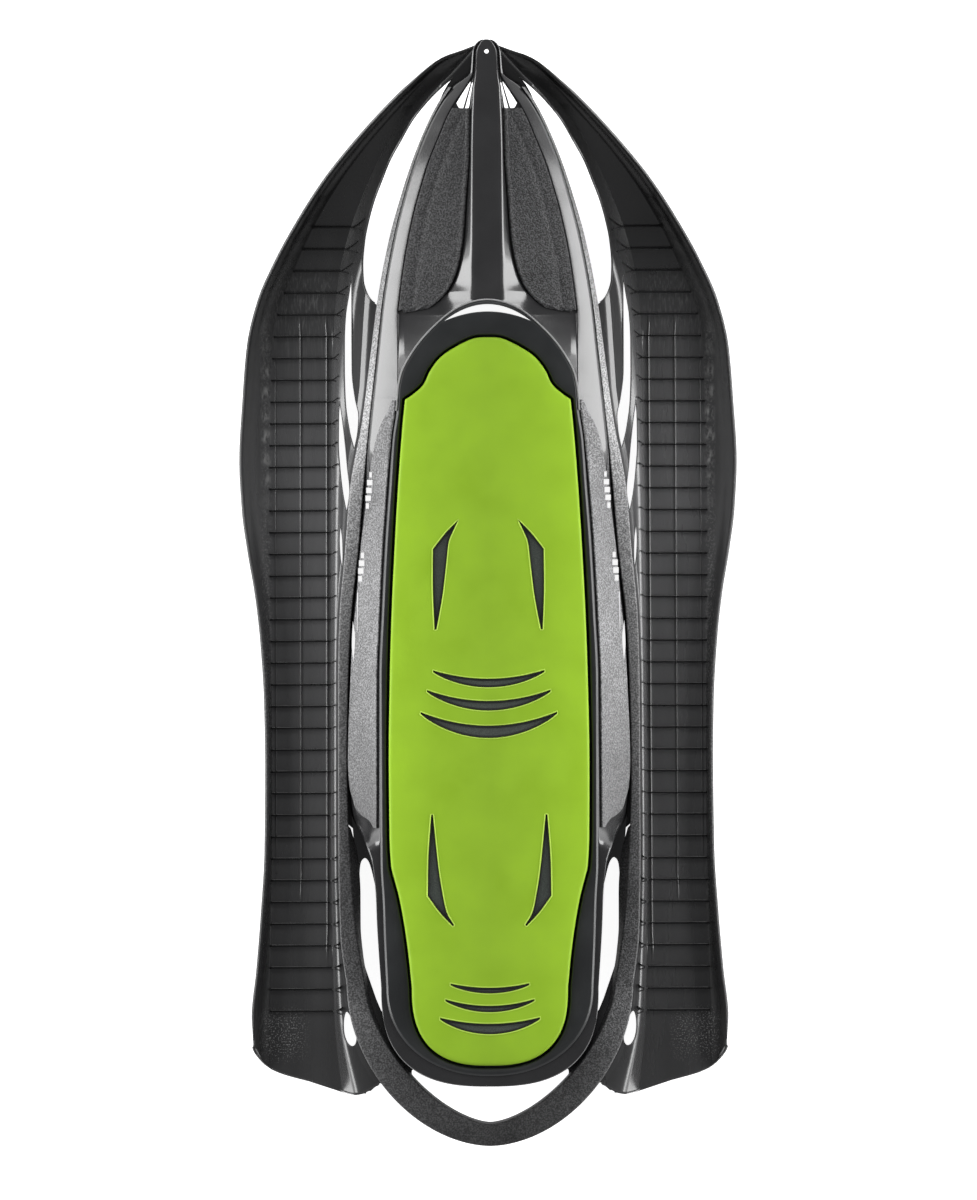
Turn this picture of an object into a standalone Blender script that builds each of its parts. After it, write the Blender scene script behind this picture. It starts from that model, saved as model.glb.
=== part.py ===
"""Moulded snow sled: a rigid pod on two ribbed runner wings, with a padded seat and a rear grab ring.

Metres, +Z up. The sled rests on z = 0, its pointed nose towards +Y, its symmetry plane at x = 0.
Every outline is drawn at the size of the DRAWN values, and stretched to LENGTH, WIDTH and HEIGHT.
"""
import math

import bmesh
import bpy
import numpy as np

# Overall size
LENGTH = 1.180
WIDTH = 0.533
HEIGHT = 0.1733

# The size at which the outlines below are drawn
DRAWN_LENGTH = 1.180
DRAWN_WIDTH = 0.533
DRAWN_HEIGHT = 0.1733

# Walls, gaps and seats
WALL = 0.0032
TRAY_WALL = 0.0025
PANEL_WALL = 0.0025
FOOT_PAD_WALL = 0.0026
GAP = 0.0003
PANEL_GAP = 0.0005
LEAST_STEP = 0.0005
RAIL_HEIGHT = 0.012
RAIL_EDGE = 0.0025
WING_TUCK = 0.0095
LEDGE_TUCK = 0.0070
FLANGE_WIDTH = 0.014

# Wing ribs and gussets
RIB_COUNT = 37
RIB_FIRST = 0.3915
RIB_PITCH = 0.0233
RIB_WIDTH = 0.0018
RIB_HEIGHT = 0.0038
RIB_SINK = 0.0016
RIB_END_SLOPE = 0.006
GUSSET_LENGTH = 0.0075
GUSSET_WIDTH = 0.0100
GUSSET_HEIGHT = 0.0120
GUSSET_TUCK = 0.0014
WALL_BEND = 0.0008
NOSE_BEND = 0.0120
LIP_BEND = 0.45
LIP_BEND_RISE = 0.38

# Seat
POCKET_DEPTH = 0.012
POCKET_CLEARANCE = 0.0012
BACKING_THICK = 0.0030
PAD_THICK = 0.0115
PAD_CROWN = 0.0014
PAD_EDGE = 0.0020
POCKET_ROOM = 0.0015
LIP_OVERLAP = 0.0035

# Fasteners
RAIL_SCREW_SHANK = 0.0036
RAIL_SCREW_HEAD = 0.0076
RAIL_SCREW_DEPTH = 0.0080
RAIL_SCREW_INSET = 0.0052
TRAY_SCREW_SHANK = 0.0040
TRAY_SCREW_HEAD = 0.0090
TRAY_SCREW_LENGTH = 0.022
HEAD_THICK = 0.0022
SCREW_CLEARANCE = 0.0005
POST_WIDTH = 0.015
TOW_HOLE = 0.0046

# Counts that only set how fine the facets are
FRONT_STEPS = 8
STERN_STEPS = 8
SCREW_SIDES = 8
POST_SIDES = 10

COLOURS = {
    "black_gloss": ((0.018, 0.018, 0.019), 0.28),
    "black_satin": ((0.024, 0.024, 0.025), 0.42),
    "black_grain": ((0.040, 0.040, 0.041), 0.62),
    "slate_foam": ((0.030, 0.034, 0.034), 0.80),
    "green_foam": ((0.270, 0.480, 0.035), 0.70),
    "zinc_steel": ((0.550, 0.550, 0.540), 0.35),
}


def stations(rows):
    """Rows of (station along the sled, distance from its middle), stretched to the sled's size."""
    return [(y * LENGTH / DRAWN_LENGTH, x * WIDTH / DRAWN_WIDTH) for y, x in rows]


def heights(rows):
    """Rows of (station along the sled, height over the snow), stretched to the sled's size."""
    return [(y * LENGTH / DRAWN_LENGTH, z * HEIGHT / DRAWN_HEIGHT) for y, z in rows]


def along(values):
    """Stations along the sled, stretched to its length."""
    return np.array(values) * LENGTH / DRAWN_LENGTH


def smooth(rows, at):
    """A cubic through rows of (station, value) that never overshoots them, read at the stations."""
    station, level = np.array(sorted(rows)).T
    at = np.clip(np.atleast_1d(np.asarray(at, dtype=float)), station[0], station[-1])
    step = np.diff(station)
    rise = np.diff(level) / step
    slope = np.empty(len(station))
    total = rise[:-1] + rise[1:]
    turning = rise[:-1] * rise[1:] <= 0
    slope[1:-1] = np.where(turning, 0, 2 * rise[:-1] * rise[1:] / np.where(turning, 1, total))
    slope[0] = rise[0]
    slope[-1] = rise[-1]
    k = np.clip(np.searchsorted(station, at) - 1, 0, len(step) - 1)
    t = (at - station[k]) / step[k]
    keep = level[k] * (1 + 2 * t) * (1 - t) ** 2 + level[k + 1] * t * t * (3 - 2 * t)
    turn = slope[k] * t * (1 - t) ** 2 - slope[k + 1] * t * t * (1 - t)
    return keep + turn * step[k]


# Plan outlines: half-widths from the nose to the stern
WING_OUTER = stations([
    (0.585, 0.0165), (0.579, 0.029), (0.569, 0.054), (0.547, 0.080), (0.526, 0.102), (0.483, 0.142),
    (0.441, 0.176), (0.398, 0.204), (0.355, 0.228), (0.313, 0.2465), (0.265, 0.258), (0.206, 0.263),
    (0.142, 0.2665), (0.090, 0.2640), (0.046, 0.2582), (-0.002, 0.2502), (-0.050, 0.2449),
    (-0.114, 0.2411), (-0.178, 0.2401), (-0.274, 0.2411), (-0.338, 0.2449), (-0.402, 0.2502),
    (-0.455, 0.2555), (-0.545, 0.2555)])
WALL_BASE = stations([
    (0.585, 0.010), (0.579, 0.016), (0.569, 0.025), (0.548, 0.045), (0.526, 0.072), (0.505, 0.0895),
    (0.462, 0.1145), (0.419, 0.1336), (0.394, 0.1430), (0.361, 0.1521), (0.335, 0.1572),
    (0.282, 0.1622), (0.238, 0.1645), (0.0, 0.1660), (-0.27, 0.1665), (-0.45, 0.1640), (-0.545, 0.155)])
WALL_TOP = stations([
    (0.585, 0.005), (0.579, 0.007), (0.569, 0.012), (0.548, 0.033), (0.526, 0.0640), (0.505, 0.0810),
    (0.462, 0.1055), (0.419, 0.1226), (0.377, 0.1340), (0.323, 0.1492), (0.270, 0.1545),
    (0.206, 0.1585), (0.100, 0.1612), (0.0, 0.1620), (-0.27, 0.1630), (-0.363, 0.1615),
    (-0.450, 0.1585), (-0.545, 0.140)])
LIP_START = stations([
    (0.585, 0.0135), (0.569, 0.046), (0.548, 0.070), (0.526, 0.090), (0.483, 0.128), (0.441, 0.1590),
    (0.3916, 0.1880), (0.3660, 0.1998), (0.3425, 0.2095), (0.3180, 0.2200), (0.2945, 0.2267),
    (0.2710, 0.2300), (0.2059, 0.2335), (0.0992, 0.2355), (-0.0075, 0.2353), (-0.1142, 0.2346),
    (-0.2209, 0.2345), (-0.3276, 0.2354), (-0.4449, 0.2369), (-0.545, 0.2369)])
RAIL_OUTER = stations([
    (0.540, 0.0405), (0.526, 0.050), (0.505, 0.0615), (0.462, 0.0795), (0.419, 0.0935), (0.377, 0.105),
    (0.3125, 0.1175), (0.260, 0.1244), (0.1845, 0.1343), (0.114, 0.1474), (0.0425, 0.1535),
    (-0.028, 0.1596), (-0.093, 0.1612), (-0.274, 0.1616), (-0.363, 0.1598), (-0.420, 0.1530)])
RAIL_INNER = stations([
    (0.540, 0.0370), (0.526, 0.0462), (0.505, 0.0575), (0.462, 0.0750), (0.419, 0.0880), (0.377, 0.0985),
    (0.3125, 0.1100), (0.260, 0.1160), (0.1845, 0.1247), (0.114, 0.1324), (0.0425, 0.1391),
    (-0.028, 0.1468), (-0.093, 0.1500), (-0.178, 0.1517), (-0.258, 0.1500), (-0.320, 0.1468),
    (-0.365, 0.1420), (-0.420, 0.1333)])
SLOT_OUTER = stations([
    (-0.250, 0.1480), (-0.283, 0.1400), (-0.322, 0.1376), (-0.354, 0.1376), (-0.386, 0.1350),
    (-0.420, 0.1290)])
SPAR = stations([
    (0.590, 0.0030), (0.588, 0.0065), (0.584, 0.0092), (0.577, 0.0103), (0.540, 0.0103),
    (0.505, 0.0122), (0.462, 0.0157), (0.419, 0.0198), (0.384, 0.0245), (0.366, 0.0288),
    (0.349, 0.0352), (0.331, 0.0448), (0.3125, 0.0660), (0.301, 0.0860), (0.2155, 0.0850),
    (-0.420, 0.0850)])
SEAT_EDGE = stations([
    (0.590, 0.0076), (0.584, 0.0134), (0.577, 0.0144), (0.555, 0.0150), (0.540, 0.0240),
    (0.522, 0.0400), (0.507, 0.0499), (0.4695, 0.0634), (0.432, 0.0753), (0.398, 0.0806),
    (0.366, 0.0880), (0.301, 0.0955), (0.206, 0.0960), (0.163, 0.1013), (0.114, 0.1047),
    (0.053, 0.1092), (-0.019, 0.1130), (-0.093, 0.1161), (-0.258, 0.1167), (-0.306, 0.1190),
    (-0.370, 0.1172), (-0.420, 0.1140)])
PANEL_EDGE = stations([
    (0.211, 0.0978), (0.196, 0.1034), (0.177, 0.1130), (0.154, 0.1195), (0.121, 0.1248), (0.085, 0.1290),
    (0.041, 0.1343), (-0.001, 0.1376), (-0.045, 0.1421), (-0.093, 0.1449), (-0.178, 0.1480),
    (-0.206, 0.1462), (-0.221, 0.1425), (-0.229, 0.1400), (-0.236, 0.1337), (-0.241, 0.1263),
    (-0.2486, 0.1215), (-0.257, 0.1190)])
SHOULDER = stations([
    (0.590, 0.0095), (0.584, 0.0140), (0.577, 0.0149), (0.555, 0.0160), (0.540, 0.0300),
    (0.526, 0.0420), (0.505, 0.0545), (0.462, 0.0700), (0.419, 0.0830), (0.366, 0.0950),
    (0.301, 0.1030), (0.240, 0.1060), (0.196, 0.1090), (0.177, 0.1140), (0.154, 0.1200), (0.121, 0.1255),
    (0.085, 0.1297), (0.041, 0.1349), (-0.001, 0.1385), (-0.045, 0.1430), (-0.093, 0.1458),
    (-0.178, 0.1488), (-0.230, 0.1440), (-0.262, 0.1300), (-0.290, 0.1230), (-0.354, 0.1190),
    (-0.420, 0.1148)])
POD_FOOT = stations([
    (0.590, 0.0105), (0.584, 0.0148), (0.577, 0.0158), (0.555, 0.0175), (0.540, 0.0358),
    (0.526, 0.0454), (0.505, 0.0568), (0.462, 0.0742), (0.419, 0.0872), (0.377, 0.0977),
    (0.3125, 0.1092), (0.260, 0.1152), (0.1845, 0.1239), (0.114, 0.1316), (0.0425, 0.1383),
    (-0.028, 0.1460), (-0.093, 0.1492), (-0.178, 0.1507), (-0.235, 0.1470), (-0.262, 0.1345),
    (-0.290, 0.1245), (-0.322, 0.1213), (-0.354, 0.1200), (-0.420, 0.1158)])
PAD_EDGE_SIDE = stations([
    (0.206, 0.0880), (0.174, 0.0912), (0.110, 0.0960), (0.046, 0.0998), (-0.018, 0.1030),
    (-0.082, 0.1051), (-0.178, 0.1067), (-0.258, 0.1062), (-0.290, 0.1046), (-0.306, 0.1008),
    (-0.322, 0.0966), (-0.354, 0.0907), (-0.386, 0.0864), (-0.420, 0.0830)])

# The seat's front ends: points (distance from the middle, station)
PAD_FRONT = [(0.0, 0.272), (0.0187, 0.2695), (0.0464, 0.2540), (0.0603, 0.2380), (0.0683, 0.2220),
             (0.0797, 0.2115), (0.0880, 0.206)]
ARCH_FRONT = [(0.0, 0.3116), (0.0230, 0.3070), (0.0444, 0.2945), (0.0705, 0.2689), (0.0881, 0.2422),
              (0.0940, 0.2240), (0.0960, 0.206)]

# Heights over the snow
SPAR_CREST = heights([(0.590, 0.136), (0.560, 0.139), (0.500, 0.145), (0.420, 0.155), (0.340, 0.164),
                      (0.310, 0.1682)])
SEAT_RIM = heights([(0.312, 0.1722), (0.206, 0.1660), (0.100, 0.1610), (-0.050, 0.1580),
                    (-0.250, 0.1585), (-0.420, 0.1640), (-0.530, 0.1670)])
PAD_SHELF = heights([(0.590, 0.1245), (0.560, 0.1255), (0.540, 0.127), (0.500, 0.130), (0.420, 0.134),
                     (0.340, 0.139), (0.300, 0.143), (0.250, 0.153), (0.206, 0.1624)])
RAIL_SEAT = heights([(0.590, 0.1195), (0.450, 0.100), (0.300, 0.082), (0.100, 0.068), (-0.250, 0.066),
                     (-0.400, 0.072), (-0.500, 0.086), (-0.590, 0.100)])
WING_WALL = heights([(0.590, 0.114), (0.550, 0.104), (0.500, 0.086), (0.450, 0.070), (0.400, 0.060),
                     (0.350, 0.056), (0.300, 0.055), (0.200, 0.058), (0.100, 0.061), (-0.250, 0.0625),
                     (-0.400, 0.068), (-0.545, 0.088)])
LIP_RISE = heights([(0.590, 0.0045), (0.540, 0.008), (0.450, 0.014), (0.350, 0.020), (0.100, 0.022),
                    (-0.150, 0.017), (-0.400, 0.020), (-0.545, 0.022)])
SHOULDER_RISE = stations([(0.590, 0.50), (0.540, 0.60), (0.300, 0.66), (0.206, 0.62), (0.150, 0.46),
                          (0.050, 0.32), (-0.230, 0.22), (-0.290, 0.40), (-0.420, 0.45)])

# Stations at which the long shells have a row of points
NOSE_ROWS = along([0.590, 0.588, 0.584, 0.577, 0.566, 0.555, 0.547, 0.540, 0.533, 0.526, 0.507])
LONG_ROWS = along([0.483, 0.451, 0.419, 0.387, 0.355, 0.334, 0.3125, 0.301, 0.265, 0.236, 0.206, 0.190,
                   0.174, 0.142, 0.110, 0.060, 0.0, -0.070, -0.140, -0.200, -0.230, -0.245, -0.262,
                   -0.290, -0.340, -0.380, -0.420])
SEAT_ROWS = along([0.206, 0.174, 0.142, 0.110, 0.060, 0.0, -0.070, -0.140, -0.230, -0.275, -0.306,
                   -0.340, -0.380, -0.420])
STERN_START = along(-0.420)

# Stern rounds: (station of the end, fullness of the superellipse)
RAIL_STERN_OUTER = (along(-0.5900), 1.85)
RAIL_STERN_INNER = (along(-0.5667), 1.75)
SLOT_STERN = (along(-0.5640), 1.80)
SEAT_STERN = (along(-0.5140), 1.95)
SHOULDER_STERN = (along(-0.5195), 2.30)
POD_STERN = (along(-0.5260), 2.70)
PAD_STERN = (along(-0.5030), 2.60)

# Underside
NOSE_LIFT_START = along(0.230)
NOSE_LIFT = 0.115 * HEIGHT / DRAWN_HEIGHT
TAIL_LIFT_START = along(-0.480)
TAIL_LIFT = 0.010 * HEIGHT / DRAWN_HEIGHT
NOSE_TIP = along(0.590)
TAIL_TIP = along(-0.590)


def underside(y):
    """Height of the running surfaces: flat on the snow, curling up to the nose and a little at the tail."""
    y = np.atleast_1d(np.asarray(y, dtype=float))
    nose = np.clip((y - NOSE_LIFT_START) / (NOSE_TIP - NOSE_LIFT_START), 0, None)
    tail = np.clip((TAIL_LIFT_START - y) / (TAIL_LIFT_START - TAIL_TIP), 0, None)
    return NOSE_LIFT * nose ** 2 + TAIL_LIFT * tail ** 2


def value(rows, y):
    """The single number that smooth gives at one station."""
    return float(smooth(rows, y)[0])


def blend(y, start, end):
    """0 ahead of station start, 1 behind station end, and a smooth step between."""
    t = np.clip((y - start) / (end - start), 0, 1)
    return t * t * (3 - 2 * t)


def resample(points, count):
    """A Catmull-Rom curve through plan points, which starts square to the sled's middle plane,
    as count + 1 points spaced evenly along it."""
    knots = np.array([(x * WIDTH / DRAWN_WIDTH, y * LENGTH / DRAWN_LENGTH) for x, y in points])
    before = knots[1] * (-1, 1)
    after = 2 * knots[-1] - knots[-2]
    knots = np.vstack([before, knots, after])
    fine = []
    for a, b, c, d in zip(knots[:-3], knots[1:-2], knots[2:-1], knots[3:]):
        t = np.linspace(0, 1, 9)[:-1, None]
        fine.append(0.5 * (2 * b + (c - a) * t + (2 * a - 5 * b + 4 * c - d) * t ** 2
                           + (3 * b - a - 3 * c + d) * t ** 3))
    fine = np.vstack(fine + [knots[-2:-1]])
    run = np.concatenate([[0], np.cumsum(np.linalg.norm(np.diff(fine, axis=0), axis=1))])
    at = np.linspace(0, run[-1], count + 1)
    return np.column_stack([np.interp(at, run, fine[:, 0]), np.interp(at, run, fine[:, 1])])


def stern(half_width, end, fullness, steps=STERN_STEPS):
    """The plan points behind STERN_START of a line that closes round the stern as a superellipse."""
    turn = np.linspace(0, math.pi / 2, steps + 1)[1:]
    x = half_width * np.abs(np.cos(turn)) ** (2 / fullness)
    y = STERN_START + (end - STERN_START) * np.sin(turn) ** (2 / fullness)
    x[-1] = 0
    return np.column_stack([x, y])


def round_stern(half_width, end, fullness, y):
    """Distance from the middle, at a station, of a line that closes round the stern."""
    share = np.clip((STERN_START - y) / (STERN_START - end), 0, 1)
    return half_width * (1 - share ** fullness) ** (1 / fullness)


def seat_line(front, side, round_end):
    """A half outline of the seat, from its front middle to its stern middle."""
    nose = resample(front, FRONT_STEPS)[:-1]
    flank = np.column_stack([smooth(side, SEAT_ROWS), SEAT_ROWS])
    return np.vstack([nose, flank, stern(flank[-1, 0], *round_end)])


def grown(line, distance):
    """A half outline moved outwards by a distance, its ends kept on the middle plane."""
    tangent = np.gradient(line, axis=0)
    tangent[0] = (1, 0)
    tangent[-1] = (-1, 0)
    tangent /= np.linalg.norm(tangent, axis=1)[:, None]
    normal = np.column_stack([-tangent[:, 1], tangent[:, 0]])
    moved = line + normal * distance
    moved[[0, -1], 0] = 0
    return moved


def raised(line, height):
    """Plan points given a height."""
    return np.column_stack([line, np.broadcast_to(height, len(line))])


def middle(line):
    """The points on the middle plane at the stations of a half outline."""
    return np.column_stack([np.zeros(len(line)), line[:, 1]])


sled = bpy.data.collections.new("snow_sled")
cutters = bpy.data.collections.new("cutters")


def clear_scene():
    for item in list(bpy.data.objects):
        bpy.data.objects.remove(item, do_unlink=True)
    bpy.context.scene.collection.children.link(sled)
    bpy.context.scene.collection.children.link(cutters)


def finish(item, finish_name):
    """Give a piece its own material."""
    colour, roughness = COLOURS[finish_name]
    material = bpy.data.materials.new(item.name + "_" + finish_name)
    material.use_nodes = True
    shader = material.node_tree.nodes["Principled BSDF"]
    shader.inputs["Base Color"].default_value = (*colour, 1)
    shader.inputs["Roughness"].default_value = roughness
    shader.inputs["Metallic"].default_value = 1.0 if finish_name == "zinc_steel" else 0.0
    material.diffuse_color = (*colour, 1)
    item.data.materials.append(material)
    return item


def as_object(name, mesh, collection):
    item = bpy.data.objects.new(name, mesh)
    collection.objects.link(item)
    if collection is cutters:
        item.hide_render = True
        item.display_type = "WIRE"
    return item


def grid_mesh(name, columns, flip=False, cap_nose=False, cap_tail=False):
    """A sheet whose columns are lines of equal length; faces look up where the columns run outwards
    to +X and their points run to -Y. cap_nose and cap_tail close a hollow section at its ends."""
    grid = np.stack(columns, axis=1)
    rows, count = grid.shape[:2]
    corner = np.arange(rows * count).reshape(rows, count)
    quads = np.stack([corner[:-1, :-1], corner[1:, :-1], corner[1:, 1:], corner[:-1, 1:]], axis=-1)
    quads = quads.reshape(-1, 4)
    if flip:
        quads = quads[:, ::-1]
    faces = quads.tolist()
    if cap_nose:
        faces.append(corner[0, ::-1 if flip else 1].tolist())
    if cap_tail:
        faces.append(corner[-1, ::1 if flip else -1].tolist())
    mesh = bpy.data.meshes.new(name)
    mesh.from_pydata(grid.reshape(-1, 3).tolist(), [], faces)
    work = bmesh.new()
    work.from_mesh(mesh)
    bmesh.ops.remove_doubles(work, verts=work.verts, dist=1e-6)
    bmesh.ops.dissolve_degenerate(work, dist=1e-6, edges=work.edges)
    bmesh.ops.triangulate(work, faces=work.faces, quad_method="SHORT_EDGE")
    work.to_mesh(mesh)
    work.free()
    return mesh


def add_mirror(item):
    mirror = item.modifiers.new("mirror", "MIRROR")
    mirror.use_axis[0] = True
    mirror.merge_threshold = 1e-5


def add_wall(item, thickness, offset=-1):
    wall = item.modifiers.new("wall", "SOLIDIFY")
    wall.thickness = thickness
    wall.offset = offset
    wall.use_even_offset = True
    wall.use_quality_normals = True


def add_boolean(item, other, operation):
    cut = item.modifiers.new(operation.lower(), "BOOLEAN")
    cut.operation = operation
    cut.solver = "EXACT"
    cut.object = other


def prisms(name, outlines, bottom, top):
    """Upright prisms over plan outlines, as one cutter."""
    work = bmesh.new()
    for outline in outlines:
        ring = [work.verts.new((x, y, bottom)) for x, y in outline]
        face = work.faces.new(ring)
        face.normal_update()
        if face.normal.z > 0:
            face.normal_flip()
        grown_part = bmesh.ops.extrude_face_region(work, geom=[face])
        lifted = [v for v in grown_part["geom"] if isinstance(v, bmesh.types.BMVert)]
        bmesh.ops.translate(work, verts=lifted, vec=(0, 0, top - bottom))
    bmesh.ops.recalc_face_normals(work, faces=work.faces)
    mesh = bpy.data.meshes.new(name)
    work.to_mesh(mesh)
    work.free()
    return as_object(name, mesh, cutters)


def upright_cylinders(name, places, width, sides):
    """Upright cylinders, as one cutter; places are (x, y, bottom, top)."""
    work = bmesh.new()
    for x, y, bottom, top in places:
        made = bmesh.ops.create_cone(work, cap_ends=True, segments=sides, radius1=width / 2,
                                     radius2=width / 2, depth=top - bottom)
        bmesh.ops.translate(work, verts=made["verts"], vec=(x, y, (bottom + top) / 2))
    mesh = bpy.data.meshes.new(name)
    work.to_mesh(mesh)
    work.free()
    return as_object(name, mesh, cutters)


def both_sides(outlines):
    """Plan outlines and their mirror images."""
    return outlines + [[(-x, y) for x, y in outline] for outline in outlines]


def plan(points):
    """Plan points (distance from the middle, station), stretched to the sled's size."""
    return [(x * WIDTH / DRAWN_WIDTH, y * LENGTH / DRAWN_LENGTH) for x, y in points]


def closed_by_tables(outer, inner, rows):
    """A closed plan outline between an outer and an inner line."""
    rows = np.asarray(rows)
    out = np.column_stack([smooth(outer, rows), rows])
    back = np.column_stack([smooth(inner, rows), rows])[::-1]
    return [tuple(p) for p in np.vstack([out, back])]


def rail_middle(y):
    """(x, y) of a screw under the rail's middle, or nearer its outer edge where the rail is wide."""
    width = value(RAIL_OUTER, y) - value(RAIL_INNER, y)
    return (value(RAIL_OUTER, y) - min(RAIL_SCREW_INSET, width / 2), float(y))


# Screw places on the right-hand side; the wing's flange is clamped by all but the front and the stern screw
RAIL_SCREWS = {
    "front": rail_middle(along(0.350)),
    "middle": rail_middle(along(0.030)),
    "rear": rail_middle(along(-0.110)),
    "ring": rail_middle(along(-0.215)),
    "stern": plan([(0.1165, -0.4700)])[0]}
WING_SCREWS = ("middle", "rear", "ring")
RING_START = along(-0.1980)
TRAY_SCREW_PLACES = plan([(0.045, 0.130), (0.045, -0.330)])


def flange_drop(y):
    """How far the hull's flange lies under the rail's seat, to leave room for the wing's flange."""
    nose = blend(y, along(0.520), along(0.530))
    flank = blend(y, along(0.334), along(0.3125))
    return (WALL + GAP) * np.maximum(nose, flank)


def foot_height(y):
    """Height of the foot of the deck's side: beside the rail, and behind it down on the hull's flange."""
    behind = blend(y, along(-0.245), along(-0.290))
    return smooth(RAIL_SEAT, y) + 0.0020 - (0.0010 + WALL) * behind


def wing_columns(y):
    """The wing's underside: lip, flange, floor, inner wall, and the flange under the rail."""
    outer = smooth(WING_OUTER, y)
    base = smooth(WALL_BASE, y)
    top = smooth(WALL_TOP, y)
    floor = underside(y)
    crease = smooth(LIP_START, y)
    lip = outer - crease
    rise = smooth(LIP_RISE, y)
    nose_plate = blend(y, along(0.540), along(0.547))
    tucked = smooth(RAIL_OUTER, y) - WING_TUCK
    behind = round_stern(value(RAIL_OUTER, STERN_START), *RAIL_STERN_OUTER, y) - WING_TUCK
    inner = np.where(y > STERN_START, tucked, behind)
    inner = inner * (1 - nose_plate) + 0.0015 * nose_plate
    inner = np.minimum(inner, top - 2 * LEAST_STEP)
    seat = smooth(RAIL_SEAT, y) - WALL
    wall = np.minimum(smooth(WING_WALL, y), seat)
    bend = inner + WING_TUCK + WALL_BEND + NOSE_BEND * nose_plate
    bend = np.clip(bend, inner + LEAST_STEP, top - LEAST_STEP)
    lines = [(inner, seat), (bend, seat), (top, wall), (base, floor), (crease, floor),
             (outer - LIP_BEND * lip, floor + LIP_BEND_RISE * rise), (outer, floor + rise)]
    return [np.column_stack([x, y, z]) for x, z in lines]


def solid_lofts(name, lofts):
    """Closed solids, each lofted through a list of four-cornered rings, as one cutter."""
    work = bmesh.new()
    for rings in lofts:
        verts = [[work.verts.new(corner) for corner in ring] for ring in rings]
        work.faces.new(verts[0])
        work.faces.new(verts[-1][::-1])
        for near, far in zip(verts[:-1], verts[1:]):
            for c in range(4):
                work.faces.new([near[c], near[(c + 1) % 4], far[(c + 1) % 4], far[c]])
    bmesh.ops.triangulate(work, faces=work.faces)
    bmesh.ops.recalc_face_normals(work, faces=work.faces)
    mesh = bpy.data.meshes.new(name)
    work.to_mesh(mesh)
    work.free()
    return as_object(name, mesh, cutters)


def ribs(side):
    """Cross ribs on the wing's floor: each is a bar with a sloping outer end, whose inner end flares
    into a wedge-shaped gusset up the inner wall."""
    lofts = []
    for k in range(RIB_COUNT):
        y = float(along(RIB_FIRST - k * RIB_PITCH))
        floor = float(underside(y)[0]) + WALL
        base = value(WALL_BASE, y)
        lean = (base - value(WALL_TOP, y)) / (value(WING_WALL, y) - floor)
        end = value(LIP_START, y)
        root = base - GUSSET_TUCK
        sections = [(end, end - RIB_END_SLOPE, RIB_WIDTH, RIB_HEIGHT),
                    (base + GUSSET_LENGTH, base + GUSSET_LENGTH, RIB_WIDTH, RIB_HEIGHT),
                    (root, root - lean * GUSSET_HEIGHT, GUSSET_WIDTH, GUSSET_HEIGHT)]
        rings = []
        for low_x, high_x, width, height in sections:
            half = width / 2
            corners = [(low_x, y - half, floor - RIB_SINK), (low_x, y + half, floor - RIB_SINK),
                       (high_x, y + half, floor + height), (high_x, y - half, floor + height)]
            rings.append([(side * x, yy, z) for x, yy, z in corners])
        lofts.append(rings)
    return solid_lofts("rib_bars", lofts)


def wing_openings():
    """Plan outlines cut through a wing: the front window, the slits between the struts, the oval
    opening beside the ring, and the trimmed tail."""
    window_rows = along([0.5465, 0.5367, 0.526, 0.505, 0.483, 0.462, 0.441, 0.419, 0.398, 0.377, 0.350,
                         0.334, 0.323, 0.3125, 0.307])
    window_outer = stations([
        (0.5465, 0.0430), (0.5367, 0.0517), (0.526, 0.0624), (0.505, 0.0795), (0.483, 0.0923),
        (0.462, 0.1040), (0.441, 0.1126), (0.419, 0.1211), (0.398, 0.1270), (0.377, 0.1312),
        (0.350, 0.1334), (0.334, 0.1328), (0.323, 0.1300), (0.3125, 0.1240), (0.307, 0.1160)])
    window_inner = [(y, x - 0.018) for y, x in RAIL_OUTER] + [(along(0.5465), 0.020)]
    slit_1 = plan([(0.1455, 0.339), (0.1477, 0.323), (0.1520, 0.295), (0.1532, 0.270), (0.1533, 0.238),
                   (0.1524, 0.206), (0.1482, 0.174), (0.1430, 0.1535), (0.1386, 0.174), (0.1396, 0.206),
                   (0.1448, 0.238), (0.1447, 0.270), (0.1446, 0.300), (0.1446, 0.323)])
    slit_2 = plan([(0.1583, 0.206), (0.1596, 0.190), (0.1600, 0.158), (0.1585, 0.135), (0.1559, 0.110),
                   (0.1512, 0.0854), (0.1476, 0.110), (0.1500, 0.135), (0.1520, 0.158), (0.1557, 0.190)])
    slit_3 = plan([(0.1581, 0.0747), (0.1593, 0.0565), (0.1585, 0.040), (0.1562, 0.0245),
                   (0.1552, 0.040), (0.1555, 0.0565)])
    hole_middle = (0.1500, -0.4650)
    hole = plan([(hole_middle[0] + 0.0068 * math.cos(a) * (1 + 0.25 * math.sin(a)) - 0.003 * math.sin(a),
                  hole_middle[1] - 0.0190 * math.sin(a)) for a in np.linspace(0, 2 * math.pi, 17)[:-1]])
    tail = plan([(0.30, -0.440), (0.2560, -0.468), (0.2545, -0.482), (0.2499, -0.493), (0.2392, -0.5047),
                 (0.2254, -0.5122), (0.2041, -0.5186), (0.1785, -0.5250), (0.1620, -0.5314),
                 (0.1508, -0.5340), (0.1412, -0.5340), (0.1326, -0.5314), (0.1166, -0.5218),
                 (0.090, -0.500), (0.090, -0.600), (0.30, -0.600)])
    return [closed_by_tables(window_outer, window_inner, window_rows), slit_1, slit_2, slit_3, hole, tail]


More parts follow.
